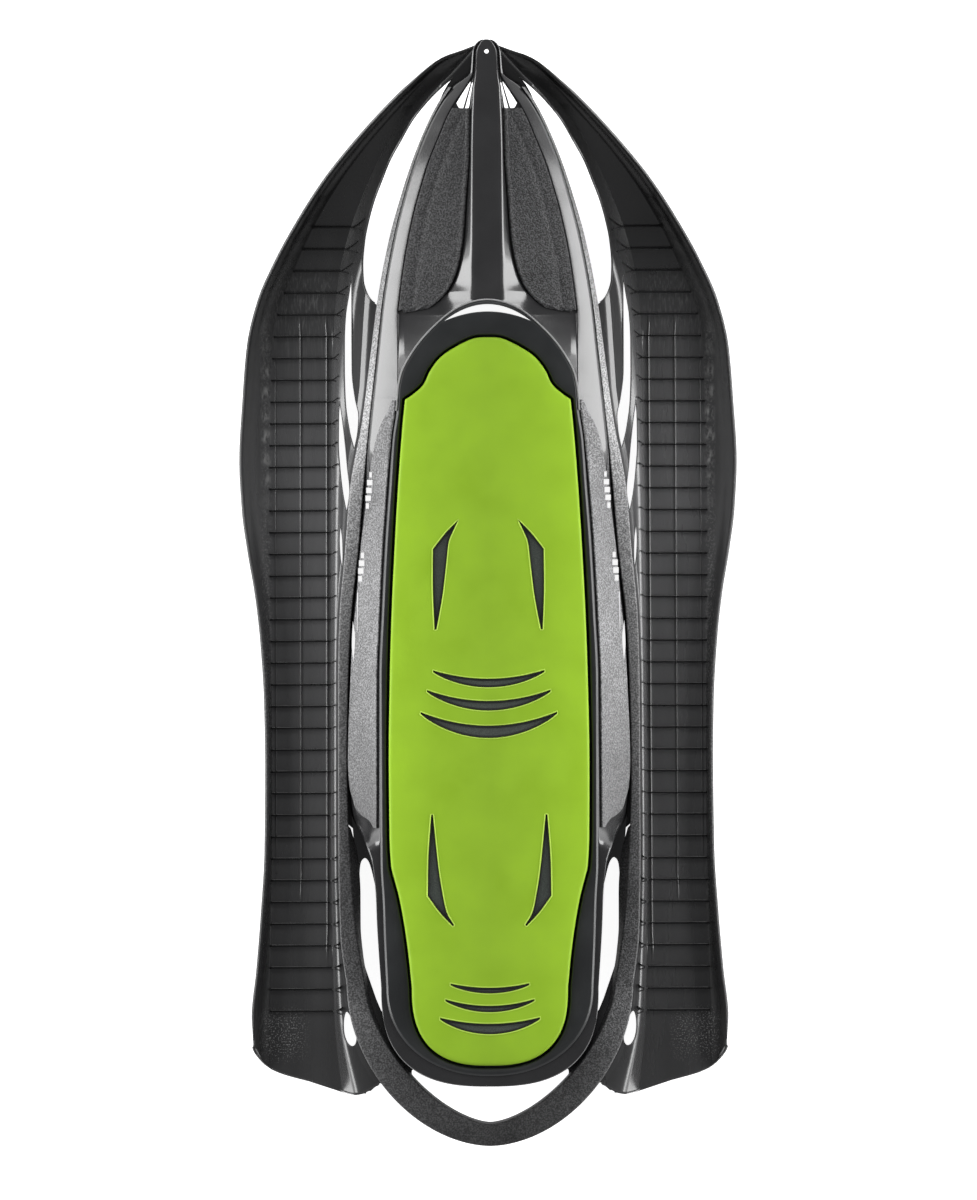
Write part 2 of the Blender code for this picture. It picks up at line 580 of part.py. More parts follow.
def runner_wing(name, side):
    """One runner wing: a lofted trough with ribs, gussets and openings."""
    rows = np.concatenate([along([0.585, 0.579]), NOSE_ROWS[4:], LONG_ROWS,
                           along([-0.440, -0.460, -0.480, -0.500, -0.520, -0.540])])
    columns = wing_columns(rows)
    for column in columns:
        column[:, 0] *= side
    wing = as_object(name, grid_mesh(name, columns, flip=side < 0), sled)
    add_wall(wing, WALL, offset=1)
    add_boolean(wing, ribs(side), "UNION")
    outlines = [[(side * x, y) for x, y in outline] for outline in wing_openings()]
    add_boolean(wing, prisms(name + "_openings", outlines, -0.02, HEIGHT), "DIFFERENCE")
    holes = [(side * RAIL_SCREWS[word][0], RAIL_SCREWS[word][1], 0.0, HEIGHT) for word in WING_SCREWS]
    drill = upright_cylinders(name + "_holes", holes, RAIL_SCREW_SHANK + 2 * SCREW_CLEARANCE, SCREW_SIDES)
    add_boolean(wing, drill, "DIFFERENCE")
    return finish(wing, "black_satin")


def pod_line(side_rows, round_end, rows=None):
    """A half outline of the pod, from the nose to the stern middle."""
    rows = np.concatenate([NOSE_ROWS, LONG_ROWS]) if rows is None else rows
    flank = np.column_stack([smooth(side_rows, rows), rows])
    return np.vstack([flank, stern(flank[-1, 0], *round_end)])


def nose_slots():
    """The two tapered openings each side of the nose, parted by a thin rib."""
    inner = plan([(0.0185, 0.5440), (0.0200, 0.5460), (0.0220, 0.5440), (0.0262, 0.5190),
                  (0.0250, 0.5150), (0.0200, 0.5180)])
    outer = plan([(0.0275, 0.5180), (0.0262, 0.5330), (0.0285, 0.5330), (0.0318, 0.5200), (0.0300, 0.5150)])
    return [inner, outer]


def vents():
    """Comb-shaped openings in the pod's steep sides, and the long opening behind them."""
    combs = []
    for middle_x, middle_y, lean in [(0.1268, 0.1090, -0.10), (0.1345, 0.0235, -0.10)]:
        for k in (-1, 0, 1):
            y = middle_y + k * 0.0088
            x = middle_x + lean * k * 0.0088
            combs.append(plan([(x - 0.0026, y - 0.0033), (x + 0.0026, y - 0.0033),
                               (x + 0.0026, y + 0.0033), (x - 0.0026, y + 0.0033)]))
    long_slot = plan([(0.1450, -0.0290), (0.1425, -0.0480), (0.1446, -0.0745), (0.1462, -0.0550)])
    return combs + [long_slot]


def crescent(grow):
    """The hand gap in the seat's front arch, between two shallow arcs."""
    tip = 0.050
    turn = np.linspace(-1, 1, 13)
    outer = [(tip * t, 0.2870 + 0.0205 * (1 - t * t)) for t in turn]
    inner = [(tip * t, 0.2870 + 0.0118 * (1 - t * t)) for t in turn[-2:0:-1]]
    middle_y = 0.296
    return plan([(x * (1 + grow), middle_y + (y - middle_y) * (1 + 3 * grow)) for x, y in outer + inner])


def lower_hull():
    """The pod's pan: a keel flat, a bilge, sides, and the flange that the rail is screwed to. Posts on
    it carry the seat tray."""
    rail = [(y, x - 0.0015) for y, x in RAIL_OUTER if along(-0.20) < y < along(0.535)]
    nose = stations([(0.549, 0.0), (0.547, 0.021), (0.540, 0.0345)])
    neck = [(y, value(RAIL_OUTER, y) - inset) for y, inset in
            [(along(-0.200), 0.0015), (along(-0.240), 0.0060)]]
    foot = [(y, x) for y, x in POD_FOOT if y < along(-0.26)]
    rim_rows = np.concatenate([along([0.549]), NOSE_ROWS[6:], LONG_ROWS])
    rim = pod_line(nose + rail + neck + foot, POD_STERN, rim_rows)
    rim[0, 0] = 0

    def ring(width_share, length_share, height_share):
        line = rim * (width_share, length_share)
        bottom = underside(line[:, 1])
        top = smooth(RAIL_SEAT, rim[:, 1]) - flange_drop(rim[:, 1]) - WALL
        return raised(line, bottom + height_share * (top - bottom))

    def flange(line):
        return raised(line, smooth(RAIL_SEAT, line[:, 1]) - flange_drop(line[:, 1]) - WALL)

    inner = grown(rim, -FLANGE_WIDTH)
    inner[:, 0] = np.maximum(inner[:, 0], 0.3 * rim[:, 0])
    inner[:, 1] = np.minimum(inner[:, 1], rim[:, 1])
    keel = ring(0.46, 0.90, 0.0)
    spine = middle(keel)
    columns = [raised(spine, underside(spine[:, 1])), keel, ring(0.68, 0.93, 0.12),
               ring(0.84, 0.955, 0.60), flange(inner), flange(rim)]
    hull = as_object("lower_hull", grid_mesh("lower_hull", columns), sled)
    add_mirror(hull)
    add_wall(hull, WALL, offset=1)
    posts = []
    for x, y in TRAY_SCREW_PLACES:
        top = value(SEAT_RIM, y) - POCKET_DEPTH - TRAY_WALL - 0.0005
        posts += [(x, y, WALL / 2, top), (-x, y, WALL / 2, top)]
    add_boolean(hull, upright_cylinders("hull_posts", posts, POST_WIDTH, POST_SIDES), "UNION")
    bores = [(x, y, top - TRAY_SCREW_LENGTH, top + 0.01) for x, y, _, top in posts]
    add_boolean(hull, upright_cylinders("post_bores", bores, TRAY_SCREW_SHANK + 2 * SCREW_CLEARANCE,
                                        SCREW_SIDES), "DIFFERENCE")
    openings = both_sides(nose_slots() + vents()) + [crescent(0.12)]
    add_boolean(hull, prisms("hull_openings", openings, -0.02, HEIGHT), "DIFFERENCE")
    holes = [(side * RAIL_SCREWS[word][0], RAIL_SCREWS[word][1], 0.0, HEIGHT)
             for side in (-1, 1) for word in ("front", *WING_SCREWS)]
    add_boolean(hull, upright_cylinders("hull_holes", holes, RAIL_SCREW_SHANK + 2 * SCREW_CLEARANCE,
                                        SCREW_SIDES), "DIFFERENCE")
    return finish(hull, "black_satin")


def deck_points(rows):
    """The deck's section lines at stations ahead of the stern, from the middle outwards."""
    recess = 1 - blend(rows, along(0.310), along(0.265))
    crest = np.where(rows > along(0.310), smooth(SPAR_CREST, rows), smooth(SEAT_RIM, rows) - 0.0037)
    under_tray = smooth(SEAT_RIM, rows) - TRAY_WALL - 0.0005
    shelf = np.where(rows > along(0.206), smooth(PAD_SHELF, rows), under_tray)
    shelf = np.minimum(shelf, under_tray)
    spar = smooth(SPAR, rows)
    edge = smooth(SEAT_EDGE, rows)
    foot = smooth(POD_FOOT, rows)
    foot_z = foot_height(rows)
    shoulder = smooth(SHOULDER, rows)
    lip = shelf + 0.0029 * recess
    shoulder_z = foot_z + smooth(SHOULDER_RISE, rows) * (lip - foot_z)
    spar_foot = np.minimum(spar + 0.0030, edge - 0.0012)
    lines = [(0 * spar, crest), (spar, crest - 0.0015 * recess), (spar_foot, crest - 0.0125 * recess),
             (edge - 0.0010, shelf), (edge, lip), (shoulder, shoulder_z), (foot, foot_z)]
    return [np.column_stack([x, rows, z]) for x, z in lines]


def deck_lining(lines):
    """The deck's inside, one wall in from its section lines, from the sides back to the middle."""
    _, _, spar_foot, shelf, edge, shoulder, foot = lines
    foot_z = foot[:, 2]
    low = foot_z + 0.0008
    spar_x = 0.70 * spar_foot[:, 0]
    shelf_x = np.maximum(spar_x + 0.0005, edge[:, 0] - WALL)
    shoulder_x = np.maximum(shelf_x + 0.0003, shoulder[:, 0] - WALL)
    foot_x = np.maximum(shoulder_x + 0.0002, foot[:, 0] - WALL)
    spar_z = np.maximum(spar_foot[:, 2] - WALL, low)
    shelf_z = np.maximum(shelf[:, 2] - 1.1 * WALL, low)
    shoulder_z = np.maximum(shoulder[:, 2] - 0.4 * WALL, foot_z + 0.0004)
    rows = foot[:, 1]
    inside = [(foot_x, foot_z), (shoulder_x, shoulder_z), (shelf_x, shelf_z), (spar_x, spar_z),
              (0 * rows, spar_z)]
    return [np.column_stack([x, rows, z]) for x, z in inside]


def ring_ledges():
    """The two ledges that carry the ring at the stern, each a slab from the pod's wall to under it."""
    rows = np.linspace(*along([-0.4465, -0.5065]), 6)
    inner = round_stern(value(POD_FOOT, STERN_START), *POD_STERN, rows) - 0.8 * WALL
    outer = round_stern(value(RAIL_INNER, STERN_START), *RAIL_STERN_INNER, rows) + LEDGE_TUCK
    top = smooth(RAIL_SEAT, rows)
    section = [(inner, top - WALL), (outer, top - WALL), (outer, top), (inner, top)]
    rings = np.stack([np.column_stack([x, rows, z]) for x, z in section], axis=1)
    return solid_lofts("ring_ledges", [(rings * (side, 1, 1)).tolist() for side in (-1, 1)])


def upper_deck():
    """The pod's upper shell: spar, foot rests, steep sides and closed stern, open under the seat."""
    rows = np.concatenate([NOSE_ROWS, LONG_ROWS])
    outside = deck_points(rows)
    lines = outside + deck_lining(outside)
    behind = [SEAT_STERN] * 5 + [SHOULDER_STERN, POD_STERN]
    behind += [(end + WALL, fullness) for end, fullness in (POD_STERN, SHOULDER_STERN, SEAT_STERN)]
    behind += [(SEAT_STERN[0] + WALL, SEAT_STERN[1])] * 2
    columns = []
    for line, end in zip(lines, behind):
        back = stern(line[-1, 0], *end)
        base = foot_height(back[:, 1])
        base_start = foot_height(line[-1, 1])[0]
        rim = smooth(SEAT_RIM, back[:, 1])
        share = (line[-1, 2] - base_start) / (value(SEAT_RIM, STERN_START) - base_start)
        level = np.minimum(base + share * (rim - base), rim - TRAY_WALL - 0.0005)
        columns.append(np.vstack([line, raised(back, level)]))
    deck = as_object("upper_deck", grid_mesh("upper_deck", columns, cap_nose=True), sled)
    add_mirror(deck)
    opening = grown(seat_line(ARCH_FRONT, SEAT_EDGE, SEAT_STERN), -LIP_OVERLAP)
    pocket = grown(seat_line(PAD_FRONT, PAD_EDGE_SIDE, PAD_STERN), POCKET_CLEARANCE + TRAY_WALL + POCKET_ROOM)
    opening[FRONT_STEPS:] = pocket[FRONT_STEPS:]
    opening = [tuple(p) for p in opening] + [(-x, y) for x, y in opening[-2:0:-1]]
    outlines = [opening] + both_sides(nose_slots() + vents())
    add_boolean(deck, prisms("deck_openings", outlines, 0.0, HEIGHT + 0.02), "DIFFERENCE")
    add_boolean(deck, ring_ledges(), "UNION")
    x, y = RAIL_SCREWS["stern"]
    holes = [(side * x, y, 0.0, HEIGHT) for side in (-1, 1)]
    add_boolean(deck, upright_cylinders("ledge_holes", holes, RAIL_SCREW_SHANK + 2 * SCREW_CLEARANCE,
                                        SCREW_SIDES), "DIFFERENCE")
    tow = plan([(0.0, 0.5773)])[0]
    add_boolean(deck, upright_cylinders("tow_drill", [(*tow, 0.05, HEIGHT)], TOW_HOLE, SCREW_SIDES),
                "DIFFERENCE")
    return finish(deck, "black_gloss")


def rail_bar(rows, behind):
    """The lines of the rail's hollow section along the pod, and round the stern where behind is true."""
    outer = np.column_stack([smooth(RAIL_OUTER, rows), rows])
    inner = np.column_stack([smooth(RAIL_INNER, rows), rows])
    foot = np.where(rows > along(-0.250), smooth(RAIL_INNER, rows),
                    np.minimum(smooth(SLOT_OUTER, rows), smooth(RAIL_INNER, rows)))
    foot = np.column_stack([foot, rows])
    if behind:
        steps = 2 * STERN_STEPS
        outer = np.vstack([outer, stern(outer[-1, 0], *RAIL_STERN_OUTER, steps)])
        inner = np.vstack([inner, stern(inner[-1, 0], *RAIL_STERN_INNER, steps)])
        foot = np.vstack([foot, stern(foot[-1, 0], *SLOT_STERN, steps)])

    def at(line, share, height):
        mixed = line + share * (inner - outer)
        return raised(mixed, smooth(RAIL_SEAT, mixed[:, 1]) + GAP + height)

    edge = np.clip(RAIL_EDGE / np.linalg.norm(inner - outer, axis=1), 0, 0.4)[:, None]
    low = raised(foot, smooth(RAIL_SEAT, foot[:, 1]) + GAP)
    return [low, at(inner, 0, RAIL_HEIGHT - RAIL_EDGE), at(inner, -edge, RAIL_HEIGHT),
            at(outer, edge, RAIL_HEIGHT), at(outer, 0, RAIL_HEIGHT - RAIL_EDGE), at(outer, 0, 0), low]


def bore_rail(rail, places):
    """Blind bores from below for the screws at these places."""
    holes = []
    for x, y in places:
        seat = value(RAIL_SEAT, y)
        holes.append((x, y, seat - 0.01, seat + RAIL_SCREW_DEPTH))
    add_boolean(rail, upright_cylinders(rail.name + "_bores", holes, RAIL_SCREW_SHANK + 2 * SCREW_CLEARANCE,
                                        SCREW_SIDES), "DIFFERENCE")


def side_rail(name, side):
    """A bar along one side of the pod, from the nose to the ring."""
    rows = np.concatenate([NOSE_ROWS[7:], LONG_ROWS[LONG_ROWS > RING_START], [RING_START + GAP]])
    loop = rail_bar(rows, False)
    for line in loop[:-1]:
        line[:, 0] *= side
    rail = as_object(name, grid_mesh(name, loop, flip=side < 0, cap_nose=True, cap_tail=True), sled)
    bore_rail(rail, [(side * x, y) for x, y in RAIL_SCREWS.values() if y > RING_START])
    return finish(rail, "black_grain")


def grab_ring():
    """The open ring that carries the rails on round the stern."""
    loop = rail_bar(np.concatenate([[RING_START], LONG_ROWS[LONG_ROWS < RING_START]]), True)
    ring = as_object("grab_ring", grid_mesh("grab_ring", loop, cap_nose=True), sled)
    add_mirror(ring)
    bore_rail(ring, [(side * x, y) for side in (-1, 1) for x, y in RAIL_SCREWS.values() if y < RING_START])
    return finish(ring, "black_grain")


def side_panel(name, side):
    """A textured panel laid on the pod's shoulder, between the seat and the glossy side."""
    ends = along([0.2055, -0.250])
    rows = [y for y in LONG_ROWS if ends[1] < y < ends[0]]
    rows = np.array(sorted(rows + list(along([0.2055, -0.2135, -0.2225, -0.236, -0.2500])), reverse=True))
    lines = deck_points(rows)
    top, low = lines[4], lines[5]
    run = low - top
    normal = np.column_stack([-run[:, 2], 0 * rows, run[:, 0]])
    normal /= np.linalg.norm(normal, axis=1)[:, None]
    width = low[:, 0] - top[:, 0]
    outer = np.clip((smooth(PANEL_EDGE, rows) - top[:, 0]) / width, 0.06, 0.97)[:, None]
    inner = np.full(len(rows), 0.0008)[:, None] / width[:, None]
    columns = [top + share * run + normal * PANEL_GAP for share in (inner, outer)]
    for column in columns:
        column[:, 0] *= side
    panel = as_object(name, grid_mesh(name, columns, flip=side < 0), sled)
    add_wall(panel, PANEL_WALL, offset=1)
    return finish(panel, "black_grain")


def foot_pad(name, side):
    """A textured insert in the recess beside the spar."""
    rows = [y for y in np.concatenate([NOSE_ROWS, LONG_ROWS]) if along(0.309) < y < along(0.517)]
    rows = np.array(rows)
    lines = deck_points(rows)
    inner, outer = lines[2], lines[3]
    run = outer - inner
    share = (0.0008 / np.linalg.norm(run, axis=1))[:, None]
    columns = [inner + run * share, outer - run * share]
    for column in columns:
        column += (0, 0, GAP)
        column[:, 0] *= side
    pad = as_object(name, grid_mesh(name, columns, flip=side < 0), sled)
    add_wall(pad, FOOT_PAD_WALL, offset=1)
    return finish(pad, "black_grain")


def seat_height(line, drop=0.0):
    return smooth(SEAT_RIM, line[:, 1]) - drop


def seat_tray():
    """The frame round the seat: a pocket for the pad, a rim, and the front arch with its hand gap."""
    pad = seat_line(PAD_FRONT, PAD_EDGE_SIDE, PAD_STERN)
    edge = seat_line(ARCH_FRONT, SEAT_EDGE, SEAT_STERN)
    pocket = grown(pad, POCKET_CLEARANCE)
    mouth = grown(pad, POCKET_CLEARANCE + 0.0008)
    floor = middle(pocket)
    columns = [raised(floor, seat_height(floor, POCKET_DEPTH)),
               raised(pocket, seat_height(pocket, POCKET_DEPTH)),
               raised(mouth, seat_height(mouth)),
               raised(edge, seat_height(edge))]
    tray = as_object("seat_tray", grid_mesh("seat_tray", columns), sled)
    add_mirror(tray)
    add_wall(tray, TRAY_WALL, offset=-1)
    add_boolean(tray, prisms("hand_gap", [crescent(0.0)], 0.10, HEIGHT + 0.02), "DIFFERENCE")
    holes = [(side * x, y, 0.1, HEIGHT) for side in (-1, 1) for x, y in TRAY_SCREW_PLACES]
    add_boolean(tray, upright_cylinders("tray_holes", holes, TRAY_SCREW_SHANK + 2 * SCREW_CLEARANCE,
                                        SCREW_SIDES), "DIFFERENCE")
    return finish(tray, "black_gloss")


def seat_marks():
    """Plan outlines of the slender marks cut through the pad."""
    front = plan([(0.0310, 0.0785), (0.0570, 0.0465), (0.0565, -0.0400), (0.0425, 0.0480)])
    rear = plan([(0.0620, -0.2360), (0.0640, -0.3222), (0.0365, -0.3552), (0.0510, -0.3222)])
    arcs = []
    for half, tips, lower, upper in [(0.0585, -0.0832, -0.1004, -0.0926), (0.0658, -0.1038, -0.1252, -0.1165),
                                     (0.0725, -0.1278, -0.1544, -0.1418), (0.0422, -0.4157, -0.4269, -0.4217),
                                     (0.0475, -0.4322, -0.4462, -0.4396), (0.0532, -0.4515, -0.4701, -0.4615)]:
        turn = np.linspace(-1, 1, 9)
        low = [(half * t, tips + (lower - tips) * (1 - t * t)) for t in turn]
        high = [(half * t, tips + (upper - tips) * (1 - t * t)) for t in turn[-2:0:-1]]
        arcs.append(plan(low + high))
    return both_sides([front, rear]) + arcs


def pad_backing():
    """The dark foam sheet glued under the pad."""
    line = grown(seat_line(PAD_FRONT, PAD_EDGE_SIDE, PAD_STERN), -0.0004)
    centre = middle(line)
    columns = [raised(part, seat_height(part, POCKET_DEPTH) + GAP) for part in (centre, line)]
    backing = as_object("pad_backing", grid_mesh("pad_backing", columns), sled)
    add_mirror(backing)
    add_wall(backing, BACKING_THICK, offset=1)
    holes = [(side * x, y, 0.1, HEIGHT) for side in (-1, 1) for x, y in TRAY_SCREW_PLACES]
    add_boolean(backing, upright_cylinders("backing_holes", holes, TRAY_SCREW_HEAD + 2 * SCREW_CLEARANCE,
                                           SCREW_SIDES), "DIFFERENCE")
    return finish(backing, "slate_foam")


def seat_pad():
    """The green foam pad: a crowned top with a rounded edge and the marks cut through it."""
    line = seat_line(PAD_FRONT, PAD_EDGE_SIDE, PAD_STERN)
    bottom = seat_height(line, POCKET_DEPTH) + 2 * GAP + BACKING_THICK
    low = grown(line, -0.0010)
    top = grown(line, -PAD_EDGE)
    inner = line * (0.80, 0.965)

    def level(part, rise):
        return raised(part, seat_height(part, POCKET_DEPTH) + 2 * GAP + BACKING_THICK + rise)

    shoulder_crown = 0.7 * PAD_CROWN
    middle_crown = shoulder_crown + (PAD_CROWN - shoulder_crown) * inner[:, 0] / inner[:, 0].max()
    columns = [level(middle(low), 0), level(low, 0), raised(line, bottom + 0.35 * PAD_THICK),
               raised(line, bottom + PAD_THICK - PAD_EDGE), level(top, PAD_THICK),
               level(inner, PAD_THICK + shoulder_crown), level(middle(inner), PAD_THICK + middle_crown)]
    mesh = grid_mesh("seat_pad", columns)
    work = bmesh.new()
    work.from_mesh(mesh)
    bmesh.ops.recalc_face_normals(work, faces=work.faces)
    work.to_mesh(mesh)
    work.free()
    pad = as_object("seat_pad", mesh, sled)
    add_mirror(pad)
    add_boolean(pad, prisms("pad_marks", seat_marks(), 0.12, HEIGHT + 0.03), "DIFFERENCE")
    return finish(pad, "green_foam")


def screw(name, x, y, head_z, direction, shank, head, length):
    """A screw turned about its axis: its head at head_z, its shank along direction (1 up, -1 down)."""
    profile = [(0.0, length), (shank / 2, length), (shank / 2, 0.0), (head / 2, 0.0),
               (head / 2, -0.6 * HEAD_THICK), (0.35 * head, -HEAD_THICK), (0.0, -HEAD_THICK)]
    mesh = bpy.data.meshes.new(name)
    mesh.from_pydata([(r, 0, z) for r, z in profile], [(k, k + 1) for k in range(len(profile) - 1)], [])
    item = as_object(name, mesh, sled)
    turned = item.modifiers.new("turned", "SCREW")
    turned.steps = SCREW_SIDES
    turned.render_steps = SCREW_SIDES
    turned.use_merge_vertices = True
    turned.merge_threshold = 1e-5
    item.location = (x, y, head_z)
    if direction < 0:
        item.rotation_euler = (math.pi, 0, 0)
    return finish(item, "zinc_steel")


def screws():
    for side_word, side in (("left", -1), ("right", 1)):
        for word, (x, y) in RAIL_SCREWS.items():
            walls = 2 if word in WING_SCREWS else 1
            under = value(RAIL_SEAT, y) - walls * WALL - 2 * GAP
            screw(f"{side_word}_{word}_screw", side * x, y, under - GAP, 1, RAIL_SCREW_SHANK,
                  RAIL_SCREW_HEAD, walls * WALL + RAIL_SCREW_DEPTH)
    for end, (x, y) in zip(("front", "rear"), TRAY_SCREW_PLACES):
        for word, side in (("left", -1), ("right", 1)):
            floor = value(SEAT_RIM, y) - POCKET_DEPTH + 2 * GAP
            screw(f"{word}_{end}_tray_screw", side * x, y, floor, -1, TRAY_SCREW_SHANK,
                  TRAY_SCREW_HEAD, TRAY_SCREW_LENGTH - 0.004)


def main():
    clear_scene()
    lower_hull()
    runner_wing("left_runner_wing", -1)
    runner_wing("right_runner_wing", 1)
    upper_deck()
    side_rail("left_side_rail", -1)
    side_rail("right_side_rail", 1)
    grab_ring()
    side_panel("left_side_panel", -1)
    side_panel("right_side_panel", 1)
    foot_pad("left_foot_pad", -1)
    foot_pad("right_foot_pad", 1)
    seat_tray()
    pad_backing()
    seat_pad()
    screws()


main()
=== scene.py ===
"""Looks of the moulded snow sled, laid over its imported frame.

Metres, +Z up, the pointed nose towards +Y, the symmetry plane at x = 0, the snow at z = 0.
"""

import math

import bmesh
import bpy
import numpy as np
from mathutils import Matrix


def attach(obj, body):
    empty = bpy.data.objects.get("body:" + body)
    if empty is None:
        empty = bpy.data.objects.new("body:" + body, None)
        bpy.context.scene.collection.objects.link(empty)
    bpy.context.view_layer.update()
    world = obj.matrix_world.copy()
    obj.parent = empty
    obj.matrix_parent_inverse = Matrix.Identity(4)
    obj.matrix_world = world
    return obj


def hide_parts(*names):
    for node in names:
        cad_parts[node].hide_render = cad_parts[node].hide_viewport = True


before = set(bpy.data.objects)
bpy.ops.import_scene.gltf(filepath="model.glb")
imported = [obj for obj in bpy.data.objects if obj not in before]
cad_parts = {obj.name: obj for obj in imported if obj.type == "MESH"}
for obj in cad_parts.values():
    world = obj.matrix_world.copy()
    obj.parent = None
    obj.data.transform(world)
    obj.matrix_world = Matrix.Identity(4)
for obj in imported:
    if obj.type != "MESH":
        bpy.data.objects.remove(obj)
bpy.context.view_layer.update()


# The pod's pan. A black polyethylene tub that slides on the snow: a flat keel, rounded bilges and a
# flange along its rim, which the rails are screwed to. Blow-moulded, satin, scuffed along the keel.

NOSE_TIP = 0.59
STERN_START = -0.42
WALL = 0.0032
SADDLE = [
    (0.59, 0.1195), (0.45, 0.1), (0.3, 0.082), (0.1, 0.068), (-0.25, 0.066), (-0.4, 0.072), (-0.5, 0.086),
    (-0.59, 0.1)]
RAIL_OUTER = [
    (0.54, 0.0405), (0.526, 0.05), (0.505, 0.0615), (0.462, 0.0795), (0.419, 0.0935), (0.377, 0.105),
    (0.3125, 0.1175), (0.26, 0.1244), (0.1845, 0.1343), (0.114, 0.1474), (0.0425, 0.1535), (-0.028, 0.1596),
    (-0.093, 0.1612), (-0.274, 0.1616), (-0.363, 0.1598), (-0.42, 0.153)]
POD_FOOT = [
    (0.59, 0.0055), (0.5885, 0.0085), (0.5858, 0.0112), (0.582, 0.0137), (0.577, 0.0152), (0.555, 0.0175),
    (0.54, 0.0364), (0.526, 0.0463), (0.505, 0.0582), (0.462, 0.076), (0.419, 0.0892), (0.377, 0.0997),
    (0.3125, 0.1112), (0.26, 0.1172), (0.1845, 0.1255), (0.114, 0.1322), (0.0425, 0.1383), (-0.028, 0.146),
    (-0.093, 0.1492), (-0.178, 0.1507), (-0.235, 0.147), (-0.262, 0.1345), (-0.29, 0.1245), (-0.322, 0.1213),
    (-0.354, 0.12), (-0.42, 0.1158)]
POD_STERN = (-0.526, 2.7)


def fair(rows, at):
    """A cubic through rows of (station, value), read at the stations: between two rows it is the Hermite
    cubic whose end slopes are the harmonic means of the slopes beside them, so it never overshoots."""
    station, level = np.array(sorted(rows)).T
    at = np.clip(np.atleast_1d(np.asarray(at, dtype=float)), station[0], station[-1])
    step = np.diff(station)
    rise = np.diff(level) / step
    slope = np.empty(len(station))
    total = rise[:-1] + rise[1:]
    turning = rise[:-1] * rise[1:] <= 0
    slope[1:-1] = np.where(turning, 0, 2 * rise[:-1] * rise[1:] / np.where(turning, 1, total))
    slope[0] = rise[0]
    slope[-1] = rise[-1]
    k = np.clip(np.searchsorted(station, at) - 1, 0, len(step) - 1)
    t = (at - station[k]) / step[k]
    keep = level[k] * (1 + 2 * t) * (1 - t) ** 2 + level[k + 1] * t * t * (3 - 2 * t)
    turn = slope[k] * t * (1 - t) ** 2 - slope[k + 1] * t * t * (1 - t)
    return keep + turn * step[k]


def edge_line(rows, y):
    """Plan points of an edge given by rows of (station, distance from the middle), at the stations y."""
    return np.column_stack([fair(rows, y), y])


def ease(y, start, end):
    """0 ahead of station start, 1 behind station end, 3 t^2 - 2 t^3 between."""
    t = np.clip((y - start) / (end - start), 0, 1)
    return t * t * (3 - 2 * t)


def snow_side(y):
    """Height of the running surfaces: 0 along the middle, 0.115 m times the square of the share of the
    way from station 0.230 to the nose, and 0.010 m times the square of the share to the tail."""
    nose = np.clip((y - 0.23) / (NOSE_TIP - 0.23), 0, None)
    tail = np.clip((-0.48 - y) / (-0.48 + 0.59), 0, None)
    return 0.115 * nose ** 2 + 0.01 * tail ** 2


def round_the_stern(half_width, end, fullness, count):
    """Plan points behind STERN_START of a quarter superellipse: x = half_width cos(a)^(2/fullness),
    y = STERN_START + (end - STERN_START) sin(a)^(2/fullness), for angles a up to a right angle."""
    turn = np.linspace(0, math.pi / 2, count + 1)[1:]
    x = half_width * np.abs(np.cos(turn)) ** (2 / fullness)
    y = STERN_START + (end - STERN_START) * np.sin(turn) ** (2 / fullness)
    x[-1] = 0
    return np.column_stack([x, y])


def lifted(line, height):
    """Plan points given a height."""
    return np.column_stack([line, np.broadcast_to(height, len(line))])


def softened(lines, radii):
    """Lines across a section with each inner corner drawn as a parabola: it leaves one radius before the
    corner, is pulled towards it, and arrives one radius after it, never past 0.45 of either side."""
    drawn = [lines[0]]
    for before, corner, after, radius in zip(lines[:-2], lines[1:-1], lines[2:], radii):
        back = before - corner
        on = after - corner
        start = corner + back * np.minimum(radius / (np.linalg.norm(back, axis=1) + 1e-9), 0.45)[:, None]
        end = corner + on * np.minimum(radius / (np.linalg.norm(on, axis=1) + 1e-9), 0.45)[:, None]
        for t in (0, 0.25, 0.5, 0.75, 1):
            drawn.append((1 - t) ** 2 * start + 2 * t * (1 - t) * corner + t * t * end)
    drawn.append(lines[-1])
    return drawn


def unit(vectors):
    """Vectors divided by their lengths."""
    return vectors / (np.linalg.norm(vectors, axis=-1)[..., None] + 1e-12)


def grid_normals(grid):
    """Unit normals of a grid of points: the cross product of its slopes along rows and columns, which
    points up where rows run aft and columns run outwards."""
    return unit(np.cross(np.gradient(grid, axis=0), np.gradient(grid, axis=1)))


def walled(lines, thickness):
    """A wall as a closed section: the lines, the lines moved by the thickness along their normals, and
    a half circle round each edge from one to the other."""
    grid = np.stack(lines, axis=1)
    normal = grid_normals(grid)
    other = grid + normal * thickness
    turn = np.linspace(0, math.pi, 6)[1:-1]

    def edge(near, beside, up):
        away = unit(grid[:, near] - grid[:, beside])
        centre = (grid[:, near] + other[:, near]) / 2
        return [centre + thickness / 2 * (-up * math.cos(a) * normal[:, near] + math.sin(a) * away)
                for a in turn]

    top = [other[:, k] for k in range(grid.shape[1])]
    return list(lines) + edge(-1, -2, 1) + top[::-1] + edge(0, 1, -1)


